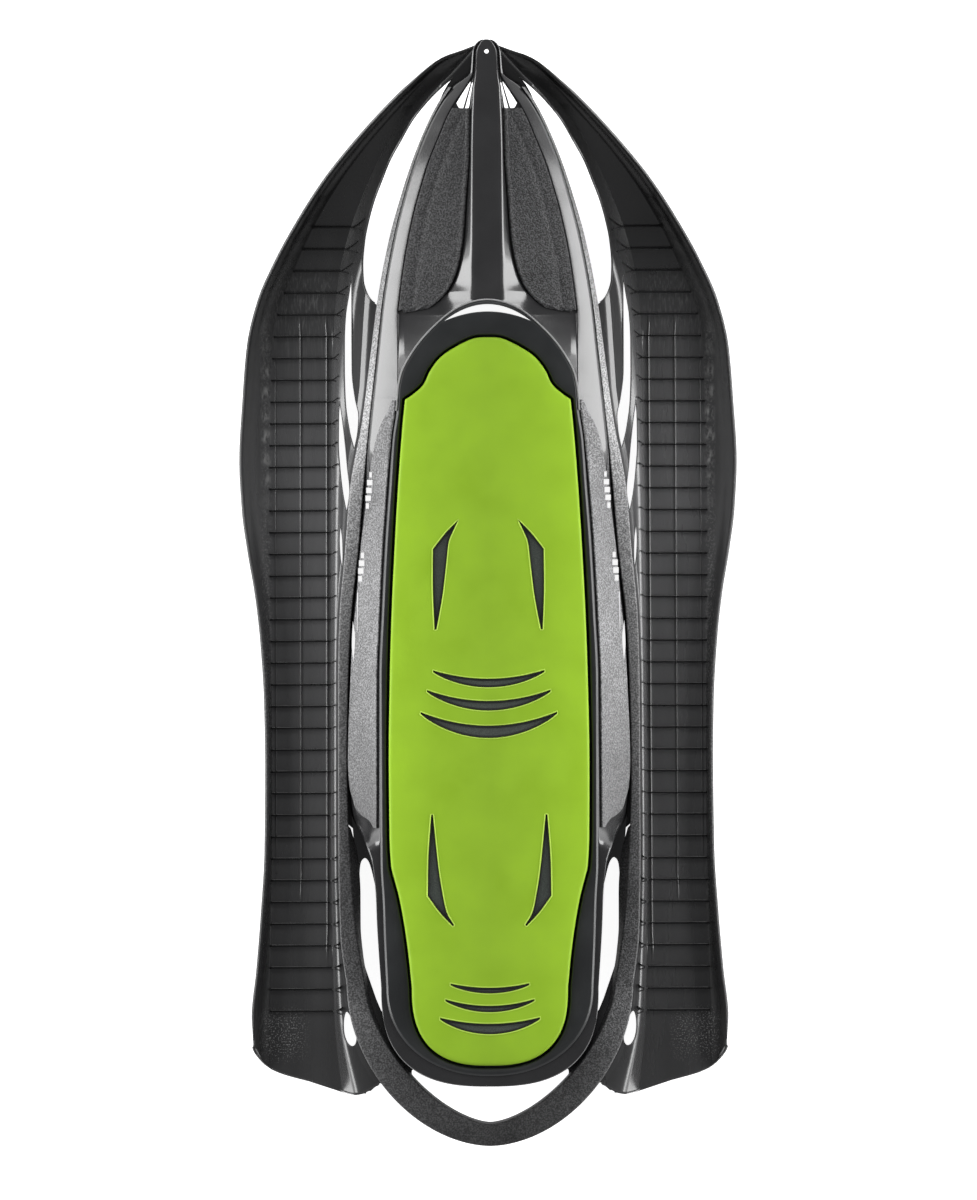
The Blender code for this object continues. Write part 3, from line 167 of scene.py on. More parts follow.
def grid_part(lines, closed=False, caps=False, wall=0):
    """Points and faces of a sheet through lines of equal length; closed joins the last line to the first,
    and caps closes both ends of a closed section with one face each. Where wall counts the lines of a
    thin section's underside, its ends are closed by a strip from that side to the other instead."""
    grid = np.stack(lines, axis=1)
    rows, count = grid.shape[:2]
    corner = np.arange(rows * count).reshape(rows, count)
    if closed:
        corner = np.concatenate([corner, corner[:, :1]], axis=1)
    quads = np.stack([corner[:-1, :-1], corner[1:, :-1], corner[1:, 1:], corner[:-1, 1:]], axis=-1)
    points = grid.reshape(-1, 3)
    faces = quads.reshape(-1, 4).tolist()
    if wall:
        turned = (count - 2 * wall) // 2
        top = wall + turned + np.arange(wall)[::-1]
        for end, way in ((corner[0], 1), (corner[-1], -1)):
            ends = [[k, k + 1, top[k + 1], top[k]] for k in range(wall - 1)]
            ends.append(list(range(wall - 1, wall + turned + 1)))
            ends.append(list(range(2 * wall + turned - 1, count)) + [0])
            faces += [end[ring].tolist()[::way] for ring in ends]
    elif caps:
        faces += [corner[0, :count].tolist(), corner[-1, :count][::-1].tolist()]
    return points, faces


def other_side(part):
    """A part's mirror image across x = 0, its faces turned so that they still point outwards."""
    points, faces = part
    return points * (-1, 1, 1), [face[::-1] for face in faces]


def both(half):
    """A part and its mirror image."""
    return [half, other_side(half)]


def prism(low, high):
    """A block between two closed outlines, one above the other."""
    points, faces = grid_part([np.vstack([line, line[:1]]) for line in (low, high)])
    for start, way in ((0, 1), (1, -1)):
        faces.append([2 * k + start for k in range(len(low))][::way])
    return points, faces


MERGE = 2e-6


def moulded(name, parts, crease=40):
    """One object from parts: their doubles are merged, faces point outwards, and it is shaded smooth
    with sharp edges past the crease angle."""
    points = np.vstack([part[0] for part in parts])
    faces = []
    start = 0
    for part_points, part_faces in parts:
        faces += [[start + k for k in face] for face in part_faces]
        start += len(part_points)
    mesh = bpy.data.meshes.new(name)
    mesh.from_pydata(points.tolist(), [], faces)
    work = bmesh.new()
    work.from_mesh(mesh)
    bmesh.ops.remove_doubles(work, verts=work.verts, dist=MERGE)
    bmesh.ops.dissolve_degenerate(work, dist=MERGE, edges=work.edges)
    bmesh.ops.recalc_face_normals(work, faces=work.faces)
    work.to_mesh(mesh)
    work.free()
    item = bpy.data.objects.new(name, mesh)
    bpy.context.scene.collection.objects.link(item)
    shade(item, crease)
    return item


def shade(item, crease):
    item.data.shade_smooth()
    item.data.set_sharp_from_angle(angle=math.radians(crease))


def cut_away(item, outlines, bottom, top, crease=40):
    """Cuts upright openings over plan outlines through a piece."""
    cutter = moulded("cutter", [prism(lifted(ring, bottom), lifted(ring, top)) for ring in outlines])
    cut = item.modifiers.new("cut", "BOOLEAN")
    cut.operation = "DIFFERENCE"
    cut.solver = "EXACT"
    cut.object = cutter
    settle(item)
    bpy.data.objects.remove(cutter, do_unlink=True)
    shade(item, crease)


def settle(item):
    """Applies a piece's modifiers to its mesh."""
    ready = bpy.context.evaluated_depsgraph_get()
    mesh = bpy.data.meshes.new_from_object(item.evaluated_get(ready))
    item.modifiers.clear()
    old = item.data
    item.data = mesh
    mesh.name = item.name
    bpy.data.meshes.remove(old)


def spline(a, b, c, d, count):
    """Points of the Catmull-Rom curve from b to c, with a before them and d after, c left out."""
    t = np.linspace(0, 1, count + 1)[:-1, None]
    return 0.5 * (2 * b + (c - a) * t + (2 * a - 5 * b + 4 * c - d) * t ** 2
                  + (3 * b - a - 3 * c + d) * t ** 3)


def closed_curve(points, count=8, corners=()):
    """A closed curve through plan points; at the numbered corners its direction breaks."""
    knots = np.array(points)
    total = len(knots)
    fine = []
    for k in range(total):
        a, b, c, d = (knots[(k + j) % total] for j in (-1, 0, 1, 2))
        if k in corners:
            a = 2 * b - c
        if (k + 1) % total in corners:
            d = 2 * c - b
        fine.append(spline(a, b, c, d, count))
    return np.vstack(fine)


def between(outer, inner, start, end, count=40):
    """A closed plan outline between two rows of (station, distance), its points closer at both ends."""
    y = start + (end - start) * (1 - np.cos(np.linspace(0, math.pi, count))) / 2
    return np.vstack([edge_line(outer, y), edge_line(inner, y)[::-1]])


def mirrored(outlines):
    """Plan outlines and their mirror images."""
    return list(outlines) + [outline * (-1, 1) for outline in map(np.array, outlines)]


def fill(tree, socket, value):
    """Gives a shader input a value: another node's socket is linked to it, a number is stored in it."""
    if isinstance(value, bpy.types.NodeSocket):
        tree.links.new(value, socket)
    else:
        socket.default_value = value


def added(tree, kind, *values, **named):
    """A new shader node, its inputs filled in order or by name."""
    node = tree.nodes.new("ShaderNode" + kind)
    for socket, value in zip(node.inputs, values):
        fill(tree, socket, value)
    for name, value in named.items():
        fill(tree, node.inputs[name.replace("_", " ")], value)
    return node


def blended(tree, way, factor, first, second):
    """The colour that a mix node makes of two."""
    node = added(tree, "Mix")
    node.data_type = "RGBA"
    node.blend_type = way
    for k, value in ((0, factor), (6, first), (7, second)):
        fill(tree, node.inputs[k], value)
    return node.outputs[2]


def plastic(name, colour, roughness, grain, depth, mottle=0.25, specular=0.5, streaks=(1, 1, 1), fleck=0.0,
            along=(), axis="Y"):
    """Moulded plastic: a fine grain raises a bump of the given depth and flecks the colour, a wider cloud
    shifts colour by the mottle and roughness by a fifth, and streaks stretches it along the flow. Along
    gives rows of (station on an axis, share of the colour) that scale the colour along that axis. On the
    wings, rails, ring and side panels these are painted shade and painted sheen, and across the seat pad
    they make the middle darker."""
    finish = bpy.data.materials.new(name)
    finish.use_nodes = True
    tree = finish.node_tree
    shader = tree.nodes["Principled BSDF"]
    shader.inputs["Specular IOR Level"].default_value = specular
    place = added(tree, "TexCoord").outputs["Object"]
    stretched = added(tree, "Mapping", Scale=streaks, Vector=place).outputs["Vector"]
    cloud = added(tree, "TexNoise", Scale=26, Detail=6, Vector=stretched).outputs["Fac"]
    fine = added(tree, "TexNoise", Scale=grain, Detail=3, Vector=place).outputs["Fac"]
    tint = added(tree, "ValToRGB", cloud)
    for stop, position, share in zip(tint.color_ramp.elements, (0.3, 0.7), (1 - mottle, 1 + mottle)):
        stop.position = position
        stop.color = (*[c * share for c in colour], 1)
    speck = added(tree, "MapRange", fine, 0.42, 0.64, 1 / (1 + 0.8 * fleck), 1 + 2.2 * fleck)
    tone = blended(tree, "MULTIPLY", 1.0, tint.outputs["Color"], speck.outputs["Result"])
    if along:
        split = added(tree, "SeparateXYZ", place)
        station = added(tree, "MapRange", split.outputs[axis], -0.6, 0.6)
        station_tone = added(tree, "ValToRGB", station.outputs["Result"])
        for _ in along[2:]:
            station_tone.color_ramp.elements.new(0.5)
        for stop, (y, share) in zip(station_tone.color_ramp.elements, sorted(along)):
            stop.position = (y + 0.6) / 1.2
            stop.color = (share, share, share, 1)
        tone = blended(tree, "MULTIPLY", 1.0, tone, station_tone.outputs["Color"])
    tree.links.new(tone, shader.inputs["Base Color"])
    gloss = added(tree, "MapRange", cloud, 0.3, 0.7, roughness * 0.85, min(1.0, roughness * 1.2))
    tree.links.new(gloss.outputs["Result"], shader.inputs["Roughness"])
    bump = added(tree, "Bump", Strength=1.0, Distance=depth, Height=fine)
    tree.links.new(bump.outputs["Normal"], shader.inputs["Normal"])
    return finish


def fitted(item, finish, slot, *nodes):
    """Gives a piece its material, lets it ride on the sled, and hides the CAD nodes that it stands for."""
    item.data.materials.clear()
    item.data.materials.append(finish)
    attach(item, "root")
    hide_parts(*nodes)
    return item


def flange_drop(y):
    """How far the pan's flange lies under the rails, where the wings' flanges lie between."""
    return (WALL + 0.0003) * np.maximum(ease(y, 0.52, 0.53), ease(y, 0.334, 0.3125))


def pod_outline(side_rows, round_end, rows, around=40):
    """A half outline of the pod, from the nose to the middle of the stern."""
    flank = edge_line(side_rows, rows)
    return np.vstack([flank, round_the_stern(flank[-1, 0], *round_end, around)])


NOSE_SLOTS = [
    closed_curve([(0.0184, 0.544), (0.0172, 0.5431), (0.0253, 0.5161), (0.0293, 0.5172), (0.0317, 0.5213),
                  (0.0312, 0.5244)], 6, (1, 2)),
    closed_curve([(0.0157, 0.5442), (0.0148, 0.5435), (0.0173, 0.5292), (0.0187, 0.5191), (0.0205, 0.5161),
                  (0.0236, 0.5156)], 6, (0, 5))]
VENTS = []
for vent_x, vent_y, cells in ((0.1272, 0.11, (0.5, 1, 1, 1, 0.6)), (0.1362, 0.024, (0.6, 1, 1, 0.7))):
    for step, wide in enumerate(cells):
        x, y = vent_x + 0.00088 * (step - 2), vent_y - 0.0083 * (step - 2)
        half = 0.003 * wide
        VENTS.append(closed_curve([(x - half, y - 0.003), (x + half, y - 0.003),
                                   (x + half, y + 0.003), (x - half, y + 0.003)], 3, (0, 1, 2, 3)))
VENTS.append(closed_curve([(0.1405, 0.001), (0.1392, 0.001), (0.14, -0.0395), (0.141, -0.0395)],
                          3, (0, 1, 2, 3)))
VENTS.append(closed_curve([(0.145, -0.029), (0.1425, -0.048), (0.1446, -0.0745), (0.1462, -0.055)],
                          6, (0, 2)))
TOW_RADIUS = 0.0024
TOW_STATION = 0.5773
turn = np.linspace(0, 2 * math.pi, 41)[:-1]
TOW_HOLE = np.column_stack([TOW_RADIUS * np.cos(turn), TOW_STATION + TOW_RADIUS * np.sin(turn)])


def hand_gap(grow, count=25):
    """The crescent between two arcs, x = 0.050 t, y = 0.287 + rise (1 - t^2); grow widens it."""
    t = np.linspace(-1, 1, count)
    far = np.column_stack([0.05 * t, 0.287 + 0.0205 * (1 - t * t)])
    near = np.column_stack([0.05 * t, 0.287 + 0.0118 * (1 - t * t)])[-2:0:-1]
    outline = np.vstack([far, near])
    outline[:, 0] *= 1 + grow
    outline[:, 1] = 0.296 + (outline[:, 1] - 0.296) * (1 + 3 * grow)
    return outline


def stations(*runs):
    """Stations along the sled, from runs of (start, end, count)."""
    return np.concatenate([np.linspace(*run) for run in runs])


def pan_lines():
    rows = stations((0.549, 0.48, 40), (0.478, STERN_START, 200))
    edge = [(0.549, 0.0), (0.547, 0.021), (0.54, 0.0345)]
    edge += [(y, x - 0.0015) for y, x in RAIL_OUTER if -0.2 < y < 0.535]
    edge += [(-0.2, 0.1597), (-0.24, 0.1555)]
    edge += [(y, x) for y, x in POD_FOOT if y < -0.26]
    rim = pod_outline(edge, POD_STERN, rows)
    rim[0, 0] = 0
    top = fair(SADDLE, rim[:, 1]) - flange_drop(rim[:, 1]) - WALL

    def hoop(width_share, length_share, height_share):
        line = rim * (width_share, length_share)
        low = snow_side(line[:, 1])
        return lifted(line, low + height_share * (top - low))

    inner = rim.copy()
    inner[:, 0] = np.maximum(rim[:, 0] - 0.014, 0.3 * rim[:, 0])
    inner[:, 1] = np.where(rim[:, 1] < STERN_START, rim[:, 1] * 0.975, rim[:, 1])
    keel = hoop(0.46, 0.9, 0.0)
    spine = keel * (0, 1, 1)
    spine[:, 2] = snow_side(spine[:, 1])
    shelf = lifted(inner, fair(SADDLE, inner[:, 1]) - flange_drop(inner[:, 1]) - WALL)
    lines = [spine, keel, hoop(0.68, 0.93, 0.12), hoop(0.84, 0.955, 0.6), shelf, lifted(rim, top)]
    return softened(lines, [0.02, 0.03, 0.02, 0.006])


hull_black = plastic("hull_black", (0.02, 0.02, 0.021), 0.46, 900, 0.00012, 0.3, streaks=(1, 0.15, 1))
pan = pan_lines()
hull_inside = [line + (0, 0, WALL) for line in pan]
lower_hull = moulded("hull_pan", both(grid_part(pan + hull_inside[::-1])))
cut_away(lower_hull, mirrored(NOSE_SLOTS + VENTS) + [hand_gap(0.12)], -0.02, 0.17)
fitted(lower_hull, hull_black, "hull_plastic", "lower_hull")


# The two running wings. Long black troughs of glossy polyethylene with a rolled outer edge, a stiff
# inner wall, 37 cross ribs braced by thin webs, gussets behind the rear ones, and struts that reach back
# to the pod's rail.

WING_OUTER = [
    (0.5845, 0.0135), (0.582, 0.02), (0.5794, 0.027), (0.573, 0.0455), (0.5666, 0.0567), (0.5602, 0.0648),
    (0.5538, 0.0722), (0.547, 0.0795), (0.526, 0.102), (0.483, 0.142), (0.441, 0.176), (0.398, 0.204),
    (0.355, 0.228), (0.313, 0.2465), (0.265, 0.258), (0.206, 0.263), (0.142, 0.2665), (0.09, 0.264),
    (0.046, 0.2582), (-0.002, 0.2502), (-0.05, 0.2449), (-0.114, 0.2411), (-0.178, 0.2401), (-0.274, 0.2411),
    (-0.338, 0.2449), (-0.402, 0.2502), (-0.455, 0.2555), (-0.545, 0.2555)]
LIP_START = [
    (0.5845, 0.011), (0.579, 0.0225), (0.569, 0.046), (0.548, 0.07), (0.526, 0.09), (0.483, 0.128),
    (0.441, 0.159), (0.3916, 0.188), (0.366, 0.1998), (0.3425, 0.2095), (0.318, 0.22), (0.2945, 0.2267),
    (0.271, 0.23), (0.2059, 0.2335), (0.0992, 0.2355), (-0.0075, 0.2353), (-0.1142, 0.2346),
    (-0.2209, 0.2345), (-0.3276, 0.2354), (-0.4449, 0.2369), (-0.545, 0.2369)]
LIP_RISE = [
    (0.59, 0.0045), (0.54, 0.008), (0.45, 0.014), (0.35, 0.02), (0.1, 0.022), (-0.15, 0.017), (-0.4, 0.02),
    (-0.545, 0.022)]
WALL_BASE = [
    (0.585, 0.01), (0.579, 0.016), (0.569, 0.025), (0.548, 0.045), (0.526, 0.072), (0.505, 0.0895),
    (0.462, 0.1145), (0.419, 0.1336), (0.394, 0.143), (0.361, 0.1521), (0.335, 0.1572), (0.282, 0.1622),
    (0.238, 0.1645), (0.0, 0.166), (-0.27, 0.1665), (-0.45, 0.164), (-0.545, 0.155)]
WALL_TOP = [
    (0.5845, 0.007), (0.579, 0.0125), (0.569, 0.021), (0.548, 0.0405), (0.526, 0.064), (0.505, 0.081),
    (0.462, 0.1055), (0.419, 0.1226), (0.377, 0.134), (0.323, 0.1492), (0.27, 0.1545), (0.206, 0.1585),
    (0.1, 0.1612), (0.0, 0.162), (-0.27, 0.163), (-0.363, 0.1615), (-0.45, 0.1585), (-0.545, 0.14)]
WING_WALL = [
    (0.59, 0.114), (0.55, 0.104), (0.5, 0.086), (0.45, 0.07), (0.4, 0.06), (0.35, 0.056), (0.3, 0.055),
    (0.2, 0.058), (0.1, 0.061), (-0.25, 0.0625), (-0.4, 0.068), (-0.545, 0.088)]
WINDOW_OUTER = [
    (0.55, 0.0354), (0.5465, 0.0405), (0.5367, 0.0517), (0.526, 0.0624), (0.505, 0.0795), (0.483, 0.0923),
    (0.462, 0.104), (0.441, 0.1126), (0.419, 0.1211), (0.398, 0.127), (0.377, 0.1312), (0.35, 0.1334),
    (0.334, 0.1328), (0.323, 0.13), (0.3125, 0.124), (0.307, 0.116)]
RING_END = (-0.59, 1.85)
RIBS = 37
RIB_START = 0.3915
RIB_PITCH = 0.0233
RIB_STATIONS = RIB_START - RIB_PITCH * np.arange(RIBS)
GUSSET_REACH = [
    (0.4, 0.96), (0.33, 0.84), (0.27, 0.66), (0.15, 0.46), (0.02, 0.26), (-0.2, 0.18), (-0.3, 0.4),
    (-0.38, 0.68), (-0.445, 0.85)]
WEB_FRONT = [
    (0.3915, 0.0145), (0.3682, 0.0135), (0.3449, 0.013), (0.3216, 0.011), (0.2983, 0.0086), (0.26, 0.007),
    (0.15, 0.0056), (0.05, 0.0042), (-0.25, 0.0036), (-0.3, 0.006), (-0.45, 0.009)]
WEB_REAR = [
    (0.3915, 0.012), (0.3682, 0.0135), (0.3449, 0.009), (0.3216, 0.0078), (0.2983, 0.0066), (0.26, 0.005),
    (0.15, 0.0036), (0.05, 0.0), (-0.25, 0.0), (-0.3, 0.004), (-0.45, 0.007)]


def section_lines(section, y):
    """Lines along the sled at the stations y, from a section's pairs of (distance, height)."""
    return [np.column_stack([x, y, z]) for x, z in section]


def wing_lines(y):
    """The wing's underside across a station: flange under the rail, bend, foot of a slanting face, strut's
    shoulder, wall top, wall base, lip start, lip bend and outer edge: distances from the middle, heights."""
    outer = fair(WING_OUTER, y) - WALL / 2
    crease = np.minimum(fair(LIP_START, y), outer - 0.002)
    base, top, floor = fair(WALL_BASE, y), fair(WALL_TOP, y), snow_side(y)
    rise = fair(LIP_RISE, y)
    nose_plate = ease(y, 0.545, 0.55)
    share = np.clip((STERN_START - y) / (STERN_START - RING_END[0]), 0, 1)
    stern = fair(RAIL_OUTER, STERN_START) * (1 - share ** RING_END[1]) ** (1 / RING_END[1])
    inner = np.where(y > STERN_START, fair(RAIL_OUTER, y), stern) - 0.0095
    inner = inner * (1 - nose_plate) + 0.0015 * nose_plate
    inner = np.minimum(inner, top - 0.001)
    seat = fair(SADDLE, y) - WALL
    wall = np.minimum(fair(WING_WALL, y), seat)
    bend = inner + 0.0103 + 0.03 * nose_plate + 0.0062 * np.clip((y - 0.22) / 0.1, 0, 1)
    bend = np.clip(bend, inner + 0.0005, top - 0.0005)
    face = np.minimum(0.0056, 0.3 * (top - bend))
    drop = np.minimum(0.72 * face, 0.4 * (seat - wall))
    shoulder = (bend + 0.62 * (top - bend), seat - drop - 0.08 * (seat - wall))
    lip_bend = (outer - 0.45 * (outer - crease), floor + 0.38 * rise)
    section = [(inner, seat), (bend, seat), (bend + face, seat - drop), shoulder, (top, wall), (base, floor),
               (crease, floor), lip_bend, (outer, floor + rise)]
    return section_lines(section, y)


def wing_height(x, y):
    """Height of the wing's upper face: the section's straight sides moved out by one wall, each corner
    along the line that halves its angle."""
    line = np.stack(wing_lines(y))[:, :, [0, 2]]
    run = np.diff(line, axis=0)
    normal = unit(np.stack([-run[..., 1], run[..., 0]], axis=-1))
    corner = np.concatenate([2 * normal[:1], normal[:-1] + normal[1:], 2 * normal[-1:]])
    upper = line + WALL * 2 * corner / ((corner ** 2).sum(axis=-1)[..., None] + 1e-6)
    height = upper[0, :, 1].copy()
    for near, far in zip(upper[:-1], upper[1:]):
        share = np.clip((x - near[:, 0]) / np.maximum(far[:, 0] - near[:, 0], 1e-6), 0, 1)
        height += share * (far[:, 1] - near[:, 1])
    return height


def tube(path, radius, sides=8, closed=True):
    """A bead along a path: x, y, z = path + radius (cos a side + sin a up), side square to the path."""
    ahead = np.roll(path, -1, axis=0) - np.roll(path, 1, axis=0)
    if not closed:
        ahead = np.gradient(path, axis=0)
    side = unit(np.cross(ahead, (0, 0, 1.0)))
    up = unit(np.cross(side, ahead))
    size = np.broadcast_to(radius, len(path))[:, None]
    angles = np.linspace(0, 2 * math.pi, sides + 1)[:-1]
    lines = [path + size * (math.cos(a) * side + math.sin(a) * up) for a in angles]
    if closed:
        lines = [np.vstack([line, line[:1]]) for line in lines]
    return grid_part(lines, closed=True, caps=not closed)


def bars(rings):
    """Closed bars lofted through four-cornered rings: an array of bar, ring, corner and coordinate."""
    parts = []
    for bar in rings:
        parts.append(grid_part([bar[:, c] for c in range(bar.shape[1])], closed=True, caps=True))
    return parts


def cross_ribs():
    """Ribs across the floor: a ring of five corners at the sloping outer end, where it is full height,
    and at the inner end; the front corner is the foot of a small fillet."""
    y = RIB_STATIONS
    floor = snow_side(y) + WALL
    outer = fair(LIP_START, y) - 0.0005
    base = fair(WALL_BASE, y)
    half = 0.0007
    height = 0.0034
    rings = []
    for x, top, width in ((outer, 0.0002, half), (outer - 0.0015, 0.003, half * 1.5),
                          (outer - 0.0045, height, half), (base + 0.004, height, half),
                          (base - 0.0005, height * 1.15, half * 1.1)):
        corners = [(x, y - 1.25 * width, floor - 0.0012), (x, y + 0.0017, floor - 0.0001),
                   (x, y + 0.001, floor + 0.0003), (x, y + 0.75 * width, floor + top),
                   (x, y - 0.75 * width, floor + top)]
        rings.append(np.stack([np.column_stack(corner) for corner in corners], axis=1))
    return bars(np.stack(rings, axis=1))


def gussets():
    """Wedges up the inner wall behind the rear ribs: narrow at the floor, wider with height, flat-faced."""
    y = RIB_STATIONS[RIB_STATIONS < -0.235]
    foot = np.column_stack([fair(WALL_BASE, y), y, snow_side(y) + WALL])
    head = np.column_stack([fair(WALL_TOP, y), y, np.minimum(fair(WING_WALL, y), fair(SADDLE, y)) + WALL])
    up = head - foot
    normal = np.cross(up, (0, 1.0, 0))
    normal *= np.sign(normal[:, :1])
    normal /= np.linalg.norm(normal, axis=1)[:, None]
    reach = fair(GUSSET_REACH, y)[:, None]
    rings = []
    for share, width, proud in ((-0.04, 0.0012, 0.0042), (0.1, 0.0016, 0.0046), (0.5, 0.005, 0.0036),
                                (1.0, 0.0105, 0.0026)):
        centre = foot + up * reach * share
        wide = width * (0.35 + 0.65 * reach) / 2 * np.array((0, 1.0, 0))
        lean = np.array((0, 0.0011, 0)) * share * reach
        out = normal * proud
        corners = [centre - wide - normal * 0.001 + lean, centre + wide - normal * 0.001 + lean,
                   centre + wide * 0.86 + out + lean, centre - wide * 0.86 + out + lean]
        rings.append(np.stack(corners, axis=1))
    return bars(np.stack(rings, axis=1))


def webs():
    """The two thin webs that brace each rib against the wall, seen as a V: a bar 1.8 mm wide at the rib's
    end that narrows along each arm, half sunk in the wall, proudest at mid-length."""
    parts = []
    for reach, rise, tip in ((WEB_FRONT, -1, 0.0034), (WEB_REAR, 1, 0.0026)):
        y = RIB_STATIONS
        start = fair(WALL_BASE, y) + 0.0022
        long = fair(reach, y)
        for k in range(RIBS):
            if long[k] < 0.0012:
                continue
            t = np.linspace(0, 1, 7)
            x = start[k] - long[k] * t
            way = y[k] - rise * long[k] * (0.62 if rise < 0 else 0.3) * t ** 1.2
            z = wing_height(x, way)
            half = 0.0009 * (1 - 0.35 * t)
            proud = 0.003 + tip * t * (1 - t) * 2
            lines = [np.column_stack([x, way + side * half, z + up])
                     for side, up in ((-1, -0.003), (1, -0.003), (0.7, proud), (-0.7, proud))]
            parts.append(grid_part(lines, closed=True, caps=True))
    return parts


def long_ribs():
    """Low ribs along the floor and the creases beside the wall: a small arch in section on the floor."""
    parts = []
    for rows, start, end, half, proud in (
            ([(0.3, 0.2272), (-0.45, 0.229)], 0.262, -0.3, 0.0009, 0.0009),
            ([(0.3, 0.2005), (-0.45, 0.202)], 0.3, -0.34, 0.001, 0.0016),
            ([(0.3, 0.1724), (-0.45, 0.1742)], 0.3, -0.4, 0.001, 0.0016),
            ([(0.3, 0.1655), (0.2, 0.1662), (-0.45, 0.168)], 0.29, -0.4, 0.0008, 0.0014)):
        y = np.linspace(start, end, 120)
        x = fair(rows, y)
        floor = snow_side(y) + WALL
        fade = np.minimum(ease(y, start, start - 0.03), ease(y, end, end + 0.05))
        arch = ((-1.6, -0.0006), (-0.8, proud * 0.7), (0, proud), (0.8, proud * 0.7), (1.6, -0.0006))
        lines = [np.column_stack([x + side * half, y, floor + up * fade]) for side, up in arch]
        parts.append(grid_part(lines, closed=True, caps=True))
    return parts


SLIT_1 = between([(0.339, 0.1454), (0.323, 0.1477), (0.295, 0.152), (0.27, 0.1532), (0.238, 0.1533),
                  (0.206, 0.1524), (0.174, 0.1482), (0.1535, 0.143)],
                 [(0.339, 0.145), (0.323, 0.1446), (0.3, 0.1446), (0.27, 0.1447), (0.238, 0.1446),
                  (0.206, 0.141), (0.19, 0.1376), (0.174, 0.1386), (0.1535, 0.1425)], 0.339, 0.1535)
SLIT_2 = between([(0.206, 0.1585), (0.19, 0.1596), (0.158, 0.16), (0.135, 0.1585), (0.11, 0.1559),
                  (0.0854, 0.1514)],
                 [(0.206, 0.1581), (0.19, 0.1557), (0.158, 0.152), (0.135, 0.15), (0.11, 0.1476),
                  (0.0854, 0.151)], 0.206, 0.0854)
SLIT_3 = between([(0.0747, 0.1583), (0.0565, 0.1593), (0.04, 0.1585), (0.0245, 0.1563)],
                 [(0.0747, 0.1579), (0.0565, 0.1555), (0.04, 0.1552), (0.0245, 0.1561)], 0.0747, 0.0245, 24)
OVAL = np.column_stack([0.15 + 0.0068 * np.cos(turn) * (1 + 0.25 * np.sin(turn)) - 0.003 * np.sin(turn),
                        -0.465 - 0.019 * np.sin(turn)])
WINDOW_INNER = [(0.55, 0.0352), (0.5435, 0.041), (0.538, 0.0442), (0.5325, 0.0472), (0.527, 0.0495),
                (0.522, 0.0522), (0.505, 0.057)] + [(y, x - 0.018) for y, x in RAIL_OUTER if y < 0.48]
WINDOW = between(WINDOW_OUTER, WINDOW_INNER, 0.55, 0.307, 90)
TAIL = np.array([(0.256, -0.468), (0.2545, -0.482), (0.2499, -0.493), (0.2392, -0.5047), (0.2254, -0.5122),
                 (0.2041, -0.5186), (0.1785, -0.525), (0.162, -0.5314), (0.1508, -0.534), (0.1412, -0.534),
                 (0.1326, -0.5314), (0.1166, -0.5218)])
tail_curve = closed_curve(TAIL, 8, (0, 11))[:-8]
TAIL_START = -0.44


def to_the_tail(line):
    """Runs a line of the section back to the tail's outline: behind TAIL_START its points are spread
    evenly as far as the station where the line meets the curve through TAIL."""
    x, y, z = line[::-1].T
    limit = np.interp(x, TAIL[::-1, 0], TAIL[::-1, 1])
    beyond = np.flatnonzero(y < limit)
    end = y[beyond[-1]] if len(beyond) else y[0]
    behind = line[:, 1] < TAIL_START
    share = (line[:, 1] - TAIL_START) / (line[-1, 1] - TAIL_START)
    station = np.where(behind, TAIL_START + share * (end - TAIL_START), line[:, 1])
    return np.column_stack([np.interp(station, y, x), station, np.interp(station, y, z)])


def rims():
    """Rolled rims: a bead along each opening and along the tail, at the height of the upper face."""
    parts = []
    window_rim = WINDOW[:84]
    for outline, radius in ((window_rim, 0.0011), (SLIT_1, 0.0008), (SLIT_2, 0.0008), (SLIT_3, 0.0007),
                            (OVAL, 0.0009)):
        path = lifted(outline, wing_height(outline[:, 0], outline[:, 1]) - 0.0006)
        parts.append(tube(path, radius, closed=outline is not window_rim))
    path = lifted(tail_curve[10:], wing_height(tail_curve[10:, 0], tail_curve[10:, 1]) - 0.001)
    parts.append(tube(path, 0.0013, closed=False))
    y = np.linspace(0.575, -0.478, 240)
    path = np.column_stack([fair(WING_OUTER, y) - 0.0021, y, snow_side(y) + fair(LIP_RISE, y) + 0.0022])
    taper = np.clip(np.minimum((0.578 - y) / 0.04, (y + 0.484) / 0.03), 0.1, 1)
    parts.append(tube(path, 0.002 * taper, closed=False))
    return parts


def worked(tree, operation, *values):
    """The result of a maths node on numbers or other nodes' sockets."""
    step = added(tree, "Math", *values)
    step.operation = operation
    return step.outputs[0]


